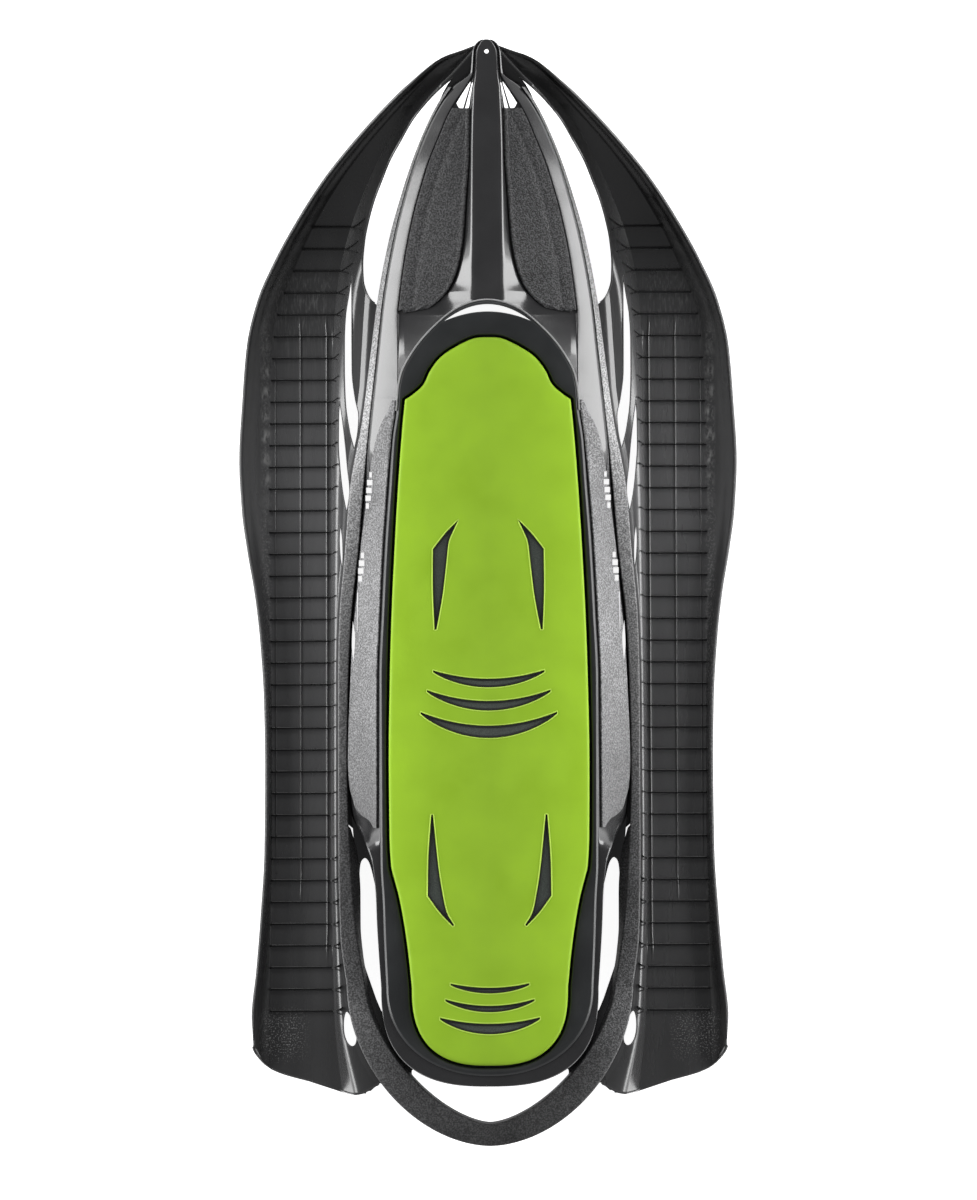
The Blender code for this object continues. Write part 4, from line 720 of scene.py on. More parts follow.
def scuffed(finish):
    """Adds wear to the wings' plastic: chalky smudges in the outer crease, one at each rib ahead of the
    middle, fine streaks along the flow in front, and a dusting near the tail."""
    tree = finish.node_tree
    shader = tree.nodes["Principled BSDF"]
    place = added(tree, "TexCoord").outputs["Object"]
    split = added(tree, "SeparateXYZ", place)
    off_middle = worked(tree, "ABSOLUTE", split.outputs["X"])
    along = split.outputs["Y"]

    def times(first, second):
        return worked(tree, "MULTIPLY", first, second)

    def band(value, low, start, end, high):
        up, down = (added(tree, "MapRange", value, zero, one) for zero, one in ((low, start), (high, end)))
        return times(up.outputs[0], down.outputs[0])

    def noise(stretch, scale, low, high):
        stretched = added(tree, "Mapping", Scale=stretch, Vector=place).outputs["Vector"]
        cloud = added(tree, "TexNoise", Scale=scale, Detail=5, Vector=stretched)
        return added(tree, "MapRange", cloud.outputs["Fac"], low, high).outputs[0]

    def patch(cover, across, ahead):
        return times(cover, times(band(off_middle, *across), band(along, *ahead)))

    cell = worked(tree, "FRACT", times(worked(tree, "SUBTRACT", RIB_START, along), 1 / RIB_PITCH))
    strokes = times(noise((3, 1, 1), 110.0, 0.4, 0.62), band(cell, 0.15, 0.5, 0.75, 0.98))
    smudge = patch(strokes, (0.2315, 0.2355, 0.2395, 0.244), (0.075, 0.15, 0.2, 0.3))
    dust = patch(noise((1, 1, 1), 420.0, 0.48, 0.68), (0.23, 0.236, 0.239, 0.245), (-0.44, -0.1, 0.28, 0.3))
    streaks = patch(noise((1, 0.03, 1), 700.0, 0.5, 0.72), (0.16, 0.175, 0.225, 0.245),
                    (0.22, 0.3, 0.335, 0.35))
    tail = patch(noise((1, 1, 1), 620.0, 0.54, 0.66), (0.19, 0.215, 0.236, 0.25),
                 (-0.505, -0.48, -0.455, -0.44))
    faint = worked(tree, "MAXIMUM", times(dust, 0.35), times(streaks, 0.16))
    marks = worked(tree, "MAXIMUM", faint, worked(tree, "MAXIMUM", smudge, times(tail, 0.8)))
    base = shader.inputs["Base Color"]
    tree.links.new(blended(tree, "MIX", marks, base.links[0].from_socket, (0.36, 0.36, 0.355, 1)), base)


SIDES = (("left", -1), ("right", 1))


def on_side(side, parts):
    """Parts drawn for the right side, mirrored for the left."""
    return parts if side > 0 else [other_side(part) for part in parts]


# The wings' colour is scaled along their length: darkest towards the nose, lightest a little ahead of the
# middle, and darker again towards the tail. This is painted shade and painted sheen. The chalky smudges and
# dust that scuffed adds are real wear.
wing_black_painted_shade_and_wear = plastic("wing_black_painted_shade_and_wear", (0.095, 0.095, 0.0965), 0.26, 420, 0.0001, 0.22, 0.7, streaks=(1, 0.12, 1),
                     along=[(0.46, 0.07), (0.385, 0.12), (0.3, 0.38), (0.2, 0.75), (0.09, 0.95),
                            (-0.22, 0.65), (-0.48, 0.36)])
scuffed(wing_black_painted_shade_and_wear)
# The ribs and their webs are the wing's plastic. Their near-black colour is painted shade on their sides.
rib_painted_shade = plastic("rib_painted_shade", (0.0075, 0.0075, 0.0078), 0.3, 420, 0.00004, 0.2, 0.25)
wing_rows = stations((0.5845, 0.54, 50), (0.538, -0.545, 400))
wing_sheet = softened(wing_lines(wing_rows), [0.001, 0.001, 0.003, 0.005, 0.003, 0.004, 0.009])
wing_sheet = [to_the_tail(line) for line in wing_sheet]
trough = grid_part(walled(wing_sheet, WALL), closed=True, wall=len(wing_sheet))
for side_name, side in SIDES:
    wing = moulded(side_name + "_wing", on_side(side, [trough]))
    openings = [outline * (side, 1) for outline in (WINDOW, SLIT_1, SLIT_2, SLIT_3, OVAL, TOW_HOLE)]
    cut_away(wing, openings, -0.03, 0.16)
    fitted(wing, wing_black_painted_shade_and_wear, "wing_plastic", side_name + "_runner_wing")
    for piece, parts, finish in (("_wing_ribs", cross_ribs() + webs(), rib_painted_shade),
                                 ("_wing_rims", long_ribs() + gussets() + rims(), wing_black_painted_shade_and_wear)):
        fitted(moulded(side_name + piece, on_side(side, parts)), finish, "wing_plastic")


# The pod's deck. The glossy upper shell: a flat tow spar down the nose, a recess for each foot, a flare
# behind them, steep sides down to the rails, and the round stern. One injection moulding, high gloss.

SPAR = [
    (0.59, 0.003), (0.588, 0.0065), (0.584, 0.0092), (0.577, 0.0103), (0.54, 0.0103), (0.505, 0.0122),
    (0.462, 0.0157), (0.419, 0.019), (0.3791, 0.0219), (0.36, 0.0248), (0.3436, 0.0287), (0.3271, 0.0356),
    (0.3161, 0.0438), (0.3066, 0.056), (0.3035, 0.069), (0.3003, 0.086), (0.2155, 0.085), (-0.42, 0.085)]
SEAT_EDGE = [
    (0.59, 0.004), (0.5885, 0.0066), (0.5858, 0.0094), (0.582, 0.012), (0.577, 0.0136), (0.555, 0.015),
    (0.54, 0.0225), (0.522, 0.035), (0.507, 0.0432), (0.4908, 0.05), (0.4588, 0.0629), (0.432, 0.0712),
    (0.4076, 0.078), (0.3532, 0.0889), (0.3126, 0.0943), (0.301, 0.0955), (0.206, 0.096), (0.163, 0.1013),
    (0.114, 0.1047), (0.053, 0.1092), (-0.019, 0.113), (-0.093, 0.1161), (-0.258, 0.1167), (-0.306, 0.119),
    (-0.37, 0.1172), (-0.42, 0.114)]
SHOULDER = [
    (0.59, 0.0095), (0.584, 0.014), (0.577, 0.0149), (0.555, 0.016), (0.54, 0.03), (0.526, 0.042),
    (0.505, 0.0545), (0.462, 0.07), (0.419, 0.083), (0.366, 0.095), (0.301, 0.103), (0.24, 0.106),
    (0.196, 0.109), (0.177, 0.114), (0.154, 0.12), (0.121, 0.1255), (0.085, 0.1297), (0.041, 0.1349),
    (-0.001, 0.1385), (-0.045, 0.143), (-0.093, 0.1458), (-0.178, 0.1488), (-0.23, 0.144), (-0.262, 0.13),
    (-0.29, 0.123), (-0.354, 0.119), (-0.42, 0.1148)]
SPAR_FLAT = [
    (0.59, 0.0012), (0.5885, 0.0034), (0.5858, 0.0062), (0.582, 0.0088), (0.577, 0.0103), (0.54, 0.0103),
    (0.505, 0.0116), (0.462, 0.0124), (0.3, 0.0125)]
ARCH_FRONT = [
    (0.0, 0.3116), (0.023, 0.307), (0.0444, 0.2945), (0.0705, 0.2689), (0.0881, 0.2422), (0.094, 0.224),
    (0.096, 0.206)]
SPAR_CREST = [(0.59, 0.136), (0.56, 0.139), (0.5, 0.145), (0.42, 0.155), (0.34, 0.164), (0.31, 0.1682)]
SEAT_RIM = [
    (0.312, 0.1722), (0.206, 0.166), (0.1, 0.161), (-0.05, 0.158), (-0.25, 0.1585), (-0.42, 0.164),
    (-0.53, 0.167)]
FOOT_REST = [
    (0.59, 0.1245), (0.56, 0.1255), (0.54, 0.127), (0.5, 0.13), (0.42, 0.134), (0.34, 0.139), (0.3, 0.143),
    (0.25, 0.153), (0.206, 0.1624)]
SHOULDER_RISE = [
    (0.59, 0.5), (0.54, 0.6), (0.3, 0.66), (0.206, 0.62), (0.15, 0.46), (0.05, 0.32), (-0.23, 0.22),
    (-0.29, 0.4), (-0.42, 0.45)]
SEAT_STERN = (-0.514, 1.95)
STERN_COUNT = 48
TRAY_WALL = 0.0025
TRAY_GAP = 0.0005


def deck_foot(y):
    return fair(SADDLE, y) + 0.002 - (0.001 + WALL) * ease(y, -0.245, -0.29)


def deck_lines(y):
    """The deck's section at a station, from the middle outwards: the spar's flat top, a step where the
    tray's arch covers it, the slope down from the spar, the foot rest, its lip, the rounded flank and the
    foot on the rail. Along the grained panels the flank is straight."""
    recess = 1 - ease(y, 0.314, 0.245)
    crest = np.where(y > 0.31, fair(SPAR_CREST, y), fair(SEAT_RIM, y) - 0.0037)
    under_tray = fair(SEAT_RIM, y) - TRAY_WALL - TRAY_GAP
    rest = np.minimum(np.where(y > 0.206, fair(FOOT_REST, y), under_tray), under_tray)
    edge, foot, foot_z = fair(SEAT_EDGE, y), fair(POD_FOOT, y), deck_foot(y)
    lip = rest + 0.0029 * recess
    ridge = fair(SPAR_FLAT, y)
    arch = np.interp(y, *np.array(ARCH_FRONT)[::-1, ::-1].T, right=0.0)
    flat = np.minimum(np.maximum(ridge, arch - 0.0008), edge - np.minimum(0.005, 0.45 * edge))
    step = flat + np.minimum(0.0046 - 0.0034 * ease(y, 0.313, 0.3095), 0.35 * (edge - flat))
    rest_start = np.minimum(np.maximum(fair(SPAR, y) + 0.003, step + 0.0016), edge - 0.0014)
    spread = ease(y, 0.352, 0.326)
    knee = np.clip(ridge + 0.0202 + 0.0095 * spread, step + 0.0004, rest_start - 0.0004)
    low = crest - (0.0122 + 0.0055 * spread) * recess
    step_z = crest - np.clip((0.3 + 0.3 * ease(y, 0.313, 0.3095)) * (step - ridge), 0, 0.0122) * recess
    behind = ease(y, 0.33, 0.31)
    across = low + (rest - low) * (rest_start - knee) / (edge - knee)
    start_z = (1 - behind) * (low - 0.0003 * recess) + behind * across
    bulge = np.maximum(ease(y, 0.1, 0.16), ease(y, -0.24, -0.275))
    width = foot - edge
    side, side_z = fair(SHOULDER, y), foot_z + fair(SHOULDER_RISE, y) * (lip - foot_z)
    round_down = width * (1 - 0.92 * ease(y, -0.23, -0.27))
    round_mid, round_mid_z = edge + 0.48 * width, lip - 0.28 * round_down
    round_out, round_out_z = edge + 0.97 * width, lip - 0.62 * round_down
    middle = (1 - bulge) * (edge + side) / 2 + bulge * round_mid
    middle_z = (1 - bulge) * (lip + side_z) / 2 + bulge * round_mid_z
    out = (1 - bulge) * side + bulge * round_out
    out_z = (1 - bulge) * side_z + bulge * round_out_z
    section = [(0 * flat, crest), (flat, crest - 0.0003), (step, step_z), (knee, low), (rest_start, start_z),
               (edge - 0.001, rest), (edge, lip), (middle, middle_z), (out, out_z), (foot, foot_z)]
    return section_lines(section, y)


def round_stern_lines(lines, ends):
    """Carries section lines on round the stern, each to its own end, at its share of the pod's height."""
    carried = []
    for line, end in zip(lines, ends):
        back = round_the_stern(line[-1, 0], *end, STERN_COUNT)
        base = deck_foot(back[:, 1])
        start = deck_foot(line[-1:, 1])[0]
        rim = fair(SEAT_RIM, back[:, 1])
        share = (line[-1, 2] - start) / (fair(SEAT_RIM, STERN_START)[0] - start)
        height = np.minimum(base + share * (rim - base), rim - TRAY_WALL - TRAY_GAP)
        carried.append(np.vstack([line, lifted(back, height)]))
    return carried


def catmull(points, count):
    """A curve through plan points that starts square to the middle plane, evenly spaced."""
    knots = np.array(points)
    knots = np.vstack([knots[1] * (-1, 1), knots, 2 * knots[-1] - knots[-2]])
    fine = []
    for a, b, c, d in zip(knots[:-3], knots[1:-2], knots[2:-1], knots[3:]):
        fine.append(spline(a, b, c, d, 12))
    fine = np.vstack(fine + [knots[-2:-1]])
    run = np.concatenate([[0], np.cumsum(np.linalg.norm(np.diff(fine, axis=0), axis=1))])
    at = np.linspace(0, run[-1], count + 1)
    return np.column_stack([np.interp(at, run, fine[:, 0]), np.interp(at, run, fine[:, 1])])


PAD_SIDE = [
    (0.206, 0.088), (0.174, 0.0912), (0.11, 0.096), (0.046, 0.0998), (-0.018, 0.103), (-0.082, 0.1051),
    (-0.178, 0.1067), (-0.258, 0.1062), (-0.29, 0.1046), (-0.306, 0.1008), (-0.322, 0.0966),
    (-0.354, 0.0907), (-0.386, 0.0864), (-0.42, 0.083)]
PAD_FRONT = [
    (0.0, 0.272), (0.0187, 0.2695), (0.0464, 0.254), (0.0603, 0.238), (0.0683, 0.222), (0.0797, 0.2115),
    (0.088, 0.206)]
PAD_STERN = (-0.503, 2.6)
SEAT_ROWS = np.linspace(0.206, STERN_START, 160)
FRONT_COUNT = 48


def seat_outline(front, side, round_end):
    """A half outline of the seat, from its front middle to its stern middle."""
    return np.vstack([catmull(front, FRONT_COUNT)[:-1], pod_outline(side, round_end, SEAT_ROWS, STERN_COUNT)])


def grown(line, distance):
    """A half outline moved outwards by a distance along its plan normals, its ends kept at x = 0."""
    along = np.gradient(line, axis=0)
    along[0] = (1, 0)
    along[-1] = (-1, 0)
    along = unit(along)
    moved = line + np.column_stack([-along[:, 1], along[:, 0]]) * distance
    moved[[0, -1], 0] = 0
    return moved


def whole(half):
    """A half outline and its mirror image as one closed outline."""
    return np.vstack([half, (half * (-1, 1))[-2:0:-1]])


deck_rows = stations((0.59, 0.577, 24), (0.575, 0.5, 60), (0.498, 0.38, 80), (0.3785, 0.29, 90),
                     (0.288, STERN_START, 240))
outside_ends = [SEAT_STERN] * 6 + [(-0.5165, 2.1), (-0.5235, 2.5), (-0.5256, 2.65), POD_STERN]
outside = round_stern_lines(deck_lines(deck_rows), outside_ends)
outside = softened(outside, [0.004, 0.003, 0.008, 0.0006, 0.0008, 0.001, 0.006, 0.003])
inside_ends = [SEAT_STERN] * 6 + [(-0.5165, 2.1), (-0.5225, 2.5), (-0.5245, 2.65), POD_STERN]
inside = round_stern_lines(deck_lines(deck_rows), [(end + WALL, fullness) for end, fullness in inside_ends])
lining = []
for line, drop in zip(inside[::-1], [0, 0.002, 0.003, 0.0032, 0.0034] + [0.0032] * 5):
    moved = line.copy()
    moved[:, 0] = np.maximum(0.6 * line[:, 0], line[:, 0] - WALL)
    moved[:, 2] -= drop
    lining.append(moved)
lining[-1][:, 0] = 0
half_deck = grid_part(outside + lining)
half_deck[1].append(list(range(len(outside + lining))))
deck = moulded("deck", both(half_deck))
seat_hole = grown(seat_outline(ARCH_FRONT, SEAT_EDGE, SEAT_STERN), -0.0035)
pocket_hole = grown(seat_outline(PAD_FRONT, PAD_SIDE, PAD_STERN), 0.0052)
seat_hole[FRONT_COUNT:] = pocket_hole[FRONT_COUNT:]
cut_away(deck, [whole(seat_hole), TOW_HOLE] + mirrored(NOSE_SLOTS + VENTS), 0.0, 0.19, 32)
cut_away(deck, [hand_gap(0.14)], 0.0, 0.19, 32)
deck_black = plastic("deck_black", (0.0175, 0.0175, 0.0182), 0.2, 300, 0.00003, 0.15, 0.85)
fitted(deck, deck_black, "deck_plastic", "upper_deck")


# The ledges. Two webs of the deck's plastic that reach from the pod's round stern to under the ring and
# close the ends of the hand slots in curves.

LEDGE_INNER = [(-0.392, 0.1355), (-0.405, 0.1312), (-0.4185, 0.1265), (-0.433, 0.1215), (-0.4449, 0.1165)]
LEDGE_REAR = [
    (-0.5085, 0.08), (-0.5092, 0.0836), (-0.5132, 0.0838), (-0.5235, 0.0755), (-0.537, 0.0621),
    (-0.5527, 0.0413), (-0.562, 0.02)]
wall_foot = round_the_stern(fair(POD_FOOT, STERN_START)[0], *POD_STERN, 60)
wall_foot = [(y, x - 0.0015) for x, y in wall_foot if -0.506 < y < -0.447]
ledge_rows = np.linspace(-0.392, -0.562, 120)
ledge_in = np.interp(ledge_rows, *np.array(sorted(LEDGE_INNER + wall_foot + LEDGE_REAR)).T)
behind = np.clip((STERN_START - ledge_rows) / 0.17, 0, 1)
ledge_out = fair(RAIL_OUTER, STERN_START) * (1 - behind ** 1.85) ** 0.5405 - 0.006
ledge_out = np.where(ledge_rows > STERN_START, fair(RAIL_OUTER, ledge_rows) - 0.006, ledge_out)
ledge_top = fair(SADDLE, ledge_rows) - 0.0003
ledge_lines = section_lines([(ledge_in, ledge_top - WALL), (ledge_in, ledge_top), (ledge_out, ledge_top),
                             (ledge_out, ledge_top - WALL)], ledge_rows)
SLOT_FRONT = closed_curve([
    (0.147, -0.238), (0.1445, -0.27), (0.143, -0.3), (0.1388, -0.3), (0.1382, -0.292), (0.1366, -0.2858),
    (0.1328, -0.2828), (0.129, -0.2868), (0.1262, -0.295), (0.1238, -0.305), (0.122, -0.313),
    (0.1195, -0.313), (0.1225, -0.29), (0.1325, -0.262), (0.144, -0.238)], 5, (0, 2, 3, 10, 11, 14))
front_top = fair(SADDLE, SLOT_FRONT[:, 1]) - 0.0003
corner = prism(lifted(SLOT_FRONT, front_top - WALL), lifted(SLOT_FRONT, front_top))
web = grid_part(softened(ledge_lines, [0.001, 0.0004]), closed=True, caps=True)
for side_name, side in SIDES:
    fitted(moulded(side_name + "_slot_front", on_side(side, [corner])), deck_black, "deck_plastic")
    fitted(moulded(side_name + "_ledge", on_side(side, [web])), deck_black, "deck_plastic")


# The rails and the grab ring. Bars with a fine grain for the hands, screwed on from below: one along each
# side of the pod, and the ring that carries them on behind the seat.

RAIL_INNER = [
    (0.54, 0.0372), (0.526, 0.047), (0.505, 0.0588), (0.462, 0.0767), (0.419, 0.0899), (0.377, 0.1004),
    (0.3125, 0.1119), (0.26, 0.1179), (0.1845, 0.1262), (0.114, 0.133), (0.0425, 0.1391), (-0.028, 0.1468),
    (-0.093, 0.15), (-0.178, 0.1517), (-0.258, 0.15), (-0.32, 0.1468), (-0.365, 0.142), (-0.42, 0.1333)]
RING_INSIDE = (-0.5667, 1.57)
SLOT_OUTER = [
    (-0.25, 0.148), (-0.283, 0.14), (-0.322, 0.1376), (-0.354, 0.1376), (-0.386, 0.135), (-0.42, 0.129)]
SLOT_STERN = (-0.564, 1.6)
RING_START = -0.198
RAIL_HEIGHT = 0.012
RAIL_LEAN = [(0.59, 0.007), (0.3, 0.007), (0.15, 0.006), (0.05, 0.0032), (-0.1, 0.0012), (-0.59, 0.0006)]


def rail_section(y, around=0):
    """The bar's closed section: foot, inner side, top leaning outwards by RAIL_LEAN, outer side."""
    outer = edge_line(RAIL_OUTER, y)
    inner = edge_line(RAIL_INNER, y)
    foot = np.where(y > -0.25, inner[:, 0], np.minimum(fair(SLOT_OUTER, y), inner[:, 0]))
    foot = np.column_stack([foot, y])
    if around:
        outer = np.vstack([outer, round_the_stern(outer[-1, 0], *RING_END, around)])
        inner = np.vstack([inner, round_the_stern(inner[-1, 0], *RING_INSIDE, around)])
        foot = np.vstack([foot, round_the_stern(foot[-1, 0], *SLOT_STERN, around)])
    base = fair(SADDLE, outer[:, 1]) + 0.0003
    lean = fair(RAIL_LEAN, outer[:, 1])
    middle = (outer + inner) / 2
    lines = [lifted(middle, base), lifted(foot, base), lifted(inner, base + RAIL_HEIGHT),
             lifted(outer, base + RAIL_HEIGHT - lean), lifted(outer, base), lifted(middle, base)]
    return softened(lines, [0.0006, 0.0016, 0.002, 0.0006])[:-1]


# The rails and the ring are one grained black plastic. The rails are painted far paler than the ring, which
# is a painted sheen. The lighter and darker stretches along each bar are painted sheen and painted shade.
rail_grain_painted_sheen = plastic("rail_grain_painted_sheen", (0.25, 0.25, 0.252), 0.5, 560, 0.0005, 0.12, fleck=0.6,
                     along=[(0.42, 0.4), (0.3, 0.6), (0.2, 0.95), (0.1, 0.56), (-0.03, 0.32),
                            (-0.18, 0.2)])
ring_grain_painted_shade = plastic("ring_grain_painted_shade", (0.05, 0.05, 0.051), 0.5, 580, 0.0005, 0.12, fleck=0.8,
                     along=[(-0.2, 0.85), (-0.33, 0.6), (-0.445, 1.0), (-0.5, 0.65), (-0.58, 0.34)])
bar = grid_part(rail_section(np.linspace(0.5395, RING_START + 0.0003, 300)), closed=True, caps=True)
for side_name, side in SIDES:
    rail = moulded(side_name + "_rail", on_side(side, [bar]), 50)
    fitted(rail, rail_grain_painted_sheen, "rail_plastic", side_name + "_side_rail")
ring_section = rail_section(np.linspace(RING_START, STERN_START, 80), 90)
half_ring = grid_part(ring_section, closed=True)
half_ring[1].append(list(range(len(ring_section))))
ring = moulded("ring", both(half_ring), 50)
fitted(ring, ring_grain_painted_shade, "rail_plastic", "grab_ring")


# The side panels. Long grained facings clipped on the pod's shoulders, with an S-shaped rear end.

PANEL_EDGE = [
    (0.211, 0.0978), (0.196, 0.1034), (0.177, 0.113), (0.154, 0.1195), (0.121, 0.1248), (0.085, 0.129),
    (0.041, 0.1343), (-0.001, 0.1376), (-0.045, 0.1421), (-0.093, 0.1449), (-0.178, 0.148), (-0.206, 0.1462),
    (-0.221, 0.1425), (-0.229, 0.14), (-0.236, 0.1337), (-0.241, 0.1263), (-0.2486, 0.1215), (-0.257, 0.119)]


def panel_lines(y):
    """Lines across the panel, half a millimetre off the deck's flank, from the seat's edge outwards."""
    lines = deck_lines(y)
    top, middle, low = lines[6], lines[7], lines[8]
    run = low - top
    normal = np.column_stack([-run[:, 2], 0 * y, run[:, 0]])
    normal /= np.linalg.norm(normal, axis=1)[:, None]
    inner = top[:, 0] + 0.002
    outer = np.clip(fair(PANEL_EDGE, y), inner + 0.0004, top[:, 0] + 0.97 * run[:, 0])
    made = []
    for t in np.linspace(0, 1, 9):
        x = inner + (outer - inner) * t
        upper = np.clip((x - top[:, 0]) / (middle[:, 0] - top[:, 0]), 0, 1)
        lower = np.clip((x - middle[:, 0]) / (low[:, 0] - middle[:, 0]), 0, 1)
        z = top[:, 2] + upper * (middle[:, 2] - top[:, 2]) + lower * (low[:, 2] - middle[:, 2])
        made.append(np.column_stack([x, y, z]) + normal * 0.0005)
    return made


# The panels' grey is paler than their dark plastic. It is a painted sheen, lightest near the middle of their
# length and darker towards both ends.
panel_grain_painted_sheen = plastic("panel_grain_painted_sheen", (0.132, 0.132, 0.134), 0.5, 560, 0.00065, 0.12, fleck=0.65,
                      along=[(0.2, 0.8), (0.1, 0.85), (-0.03, 1.0), (-0.11, 0.85), (-0.178, 0.64),
                             (-0.24, 0.55)])
panel_rows = stations((0.2055, 0.15, 50), (0.148, -0.2, 140), (-0.2015, -0.25, 60))
facing = grid_part(walled(panel_lines(panel_rows), 0.0025), closed=True, caps=True)
for side_name, side in SIDES:
    panel = moulded(side_name + "_facing", on_side(side, [facing]), 50)
    cut_away(panel, [vent * (side, 1) for vent in VENTS], 0.0, 0.19, 50)
    fitted(panel, panel_grain_painted_sheen, "panel_plastic", side_name + "_side_panel")


# The foot pads. Coarse-grained inserts glued in the foot rests, with a raised rim along the spar and a
# shallow groove near the outer edge.

def pad_lines(y):
    """Lines across the insert, from the spar's foot to the rest's edge: a rim 1 mm high along the spar and
    a groove 0.8 mm deep some 14 mm from the outer edge."""
    lines = deck_lines(y)
    inner, outer = lines[4], lines[5]
    run = outer - inner
    width = np.linalg.norm(run, axis=1)
    ends = (0.0014 / width)[:, None]
    made = []
    for t in np.linspace(0, 1, 33):
        share = ends + (1 - 2 * ends) * t
        point = inner + run * share
        from_outer = width * (1 - share[:, 0])
        from_inner = width * share[:, 0]
        groove = 0.0008 * np.exp(-((from_outer - 0.0145) / 0.0035) ** 2)
        groove = groove * np.clip((width - 0.02) / 0.01, 0, 1)
        rim = 0.001 * np.exp(-((from_inner - 0.0022) / 0.0012) ** 2)
        point[:, 2] += 0.0003 + rim - groove
        made.append(point)
    return made


foot_grain = plastic("foot_grain", (0.011, 0.011, 0.0115), 0.55, 600, 0.00095, 0.12, fleck=2.2)
pad_rows = stations((0.5165, 0.32, 140), (0.319, 0.301, 40))
insert = grid_part(walled(pad_lines(pad_rows), 0.0026), closed=True, caps=True)
for side_name, side in SIDES:
    tread = moulded(side_name + "_foot_tread", on_side(side, [insert]), 50)
    fitted(tread, foot_grain, "panel_plastic", side_name + "_foot_pad")


# The seat tray. The dark frame round the seat: a pocket for the pad, a narrow rounded rim along the sides,
# and a broad arch in front with a hand gap. Injection moulded, screwed down through the pocket.

POCKET_DEPTH = 0.012


def seat_level(line, drop=0.0):
    return fair(SEAT_RIM, line[:, 1]) - drop


def on_seat(line, drop=0.0):
    return lifted(line, seat_level(line, drop))


pad_edge = seat_outline(PAD_FRONT, PAD_SIDE, PAD_STERN)
TRAY_SIDE = [row for row in SEAT_EDGE if row[0] > -0.2] + [
    (-0.258, 0.1158), (-0.29, 0.1156), (-0.328, 0.1135), (-0.37, 0.1122), (-0.42, 0.11)]
rim_edge = seat_outline(ARCH_FRONT, TRAY_SIDE, (SEAT_STERN[0], 2.15))
pocket = grown(pad_edge, 0.0018)
mouth = grown(pad_edge, 0.003)
pocket_middle = pocket * (0, 1)
crest = mouth + (rim_edge - mouth) * 0.45
bevel = grown(rim_edge, -0.002)
tray_lines = [on_seat(pocket_middle, POCKET_DEPTH), on_seat(pocket, POCKET_DEPTH), on_seat(mouth, 0.0012),
              on_seat(crest), on_seat(bevel, 0.0002), on_seat(rim_edge, 0.0015)]
tray_top = softened(tray_lines, [0.0012, 0.0016, 0.003, 0.0003])
tray_foot = [line - (0, 0, TRAY_WALL) for line in tray_lines]
tray_foot[1][:, :2] = grown(pad_edge, 0.0018 + TRAY_WALL)
tray_foot[2][:, :2] = grown(pad_edge, 0.003 + TRAY_WALL)
tray_edge = lifted(grown(rim_edge, 0.0003), seat_level(rim_edge, 0.002))
tray = moulded("tray", both(grid_part(tray_top + [tray_edge] + tray_foot[::-1])), 35)
cut_away(tray, [hand_gap(0.0)], 0.1, 0.19, 35)
tray_slate = plastic("tray_slate", (0.015, 0.0162, 0.017), 0.36, 700, 0.00006, 0.15)
fitted(tray, tray_slate, "tray_plastic", "seat_tray")
gap_rim = hand_gap(0.012, 41)
fitted(moulded("hand_gap_rim", [tube(on_seat(gap_rim, 0.0007), 0.0007)]), tray_slate, "tray_plastic")
arch = grown(rim_edge, 0.0008)[:FRONT_COUNT + 4]
arch = np.vstack([arch[::-1] * (-1, 1), arch[1:]])
arch_bead = moulded("arch_bead", [tube(on_seat(arch, 0.0004), 0.0008, closed=False)])
# The bead's pale grey is a painted highlight along the arch's edge; the tray round it is dark slate.
arch_painted_highlight = plastic("arch_painted_highlight", (0.24, 0.24, 0.242), 0.25, 420, 0.00004, 0.1)
fitted(arch_bead, arch_painted_highlight, "tray_plastic")


# The pad's backing. A sheet of slate-grey closed-cell foam glued in the pocket; it shows through the
# marks cut in the pad.

BACKING_THICK = 0.003
backing_edge = grown(pad_edge, -0.0004)
backing_middle = backing_edge * (0, 1)
low = [on_seat(line, POCKET_DEPTH - 0.0003) for line in (backing_middle, backing_edge)]
high = [line + (0, 0, BACKING_THICK) for line in low]
backing = moulded("backing", both(grid_part([low[0], low[1], high[1], high[0]])))
slate_foam = plastic("slate_foam", (0.034, 0.041, 0.036), 0.75, 1100, 0.0002, 0.15, fleck=0.25)
fitted(backing, slate_foam, "backing_foam", "pad_backing")


# The seat pad. Yellow-green closed-cell foam, pressed with a fine skin and a soft rounded edge, with
# slender marks cut through it; glued on the backing.

def seat_marks():
    """The cut marks: four slender blades and six crescents between two parabolas."""
    front = closed_curve([
        (0.0317, 0.0779), (0.0455, 0.064), (0.059, 0.0468), (0.0592, 0.003), (0.0576, -0.0388),
        (0.0556, -0.0388), (0.0525, -0.023), (0.0485, 0.0), (0.045, 0.0294), (0.0424, 0.0525),
        (0.039, 0.0625)], 5, (0, 2, 4, 5))
    rear = closed_curve([
        (0.0618, -0.236), (0.065, -0.28), (0.0658, -0.3224), (0.053, -0.34), (0.039, -0.3548),
        (0.038, -0.3532), (0.0455, -0.34), (0.05, -0.32), (0.0545, -0.29), (0.06, -0.236)],
        5, (0, 2, 4, 5, 9))
    arcs = []
    for half, tips, lower, upper in (
            (0.0594, -0.0831, -0.1005, -0.0913), (0.0659, -0.1041, -0.1252, -0.115),
            (0.0728, -0.1275, -0.1544, -0.1413), (0.042, -0.4164, -0.4262, -0.4202),
            (0.0475, -0.4332, -0.4462, -0.4394), (0.0532, -0.4527, -0.4696, -0.4585)):
        t = np.linspace(-1, 1, 33)
        low = np.column_stack([half * t, tips - 0.0009 + (lower - tips + 0.0009) * (1 - t * t) ** 0.9])
        high = np.column_stack([half * t, tips + 0.0009 + (upper - tips - 0.0009) * (1 - t * t)])[::-1]
        arcs.append(np.vstack([low, high]))
    return mirrored([front, rear]) + arcs


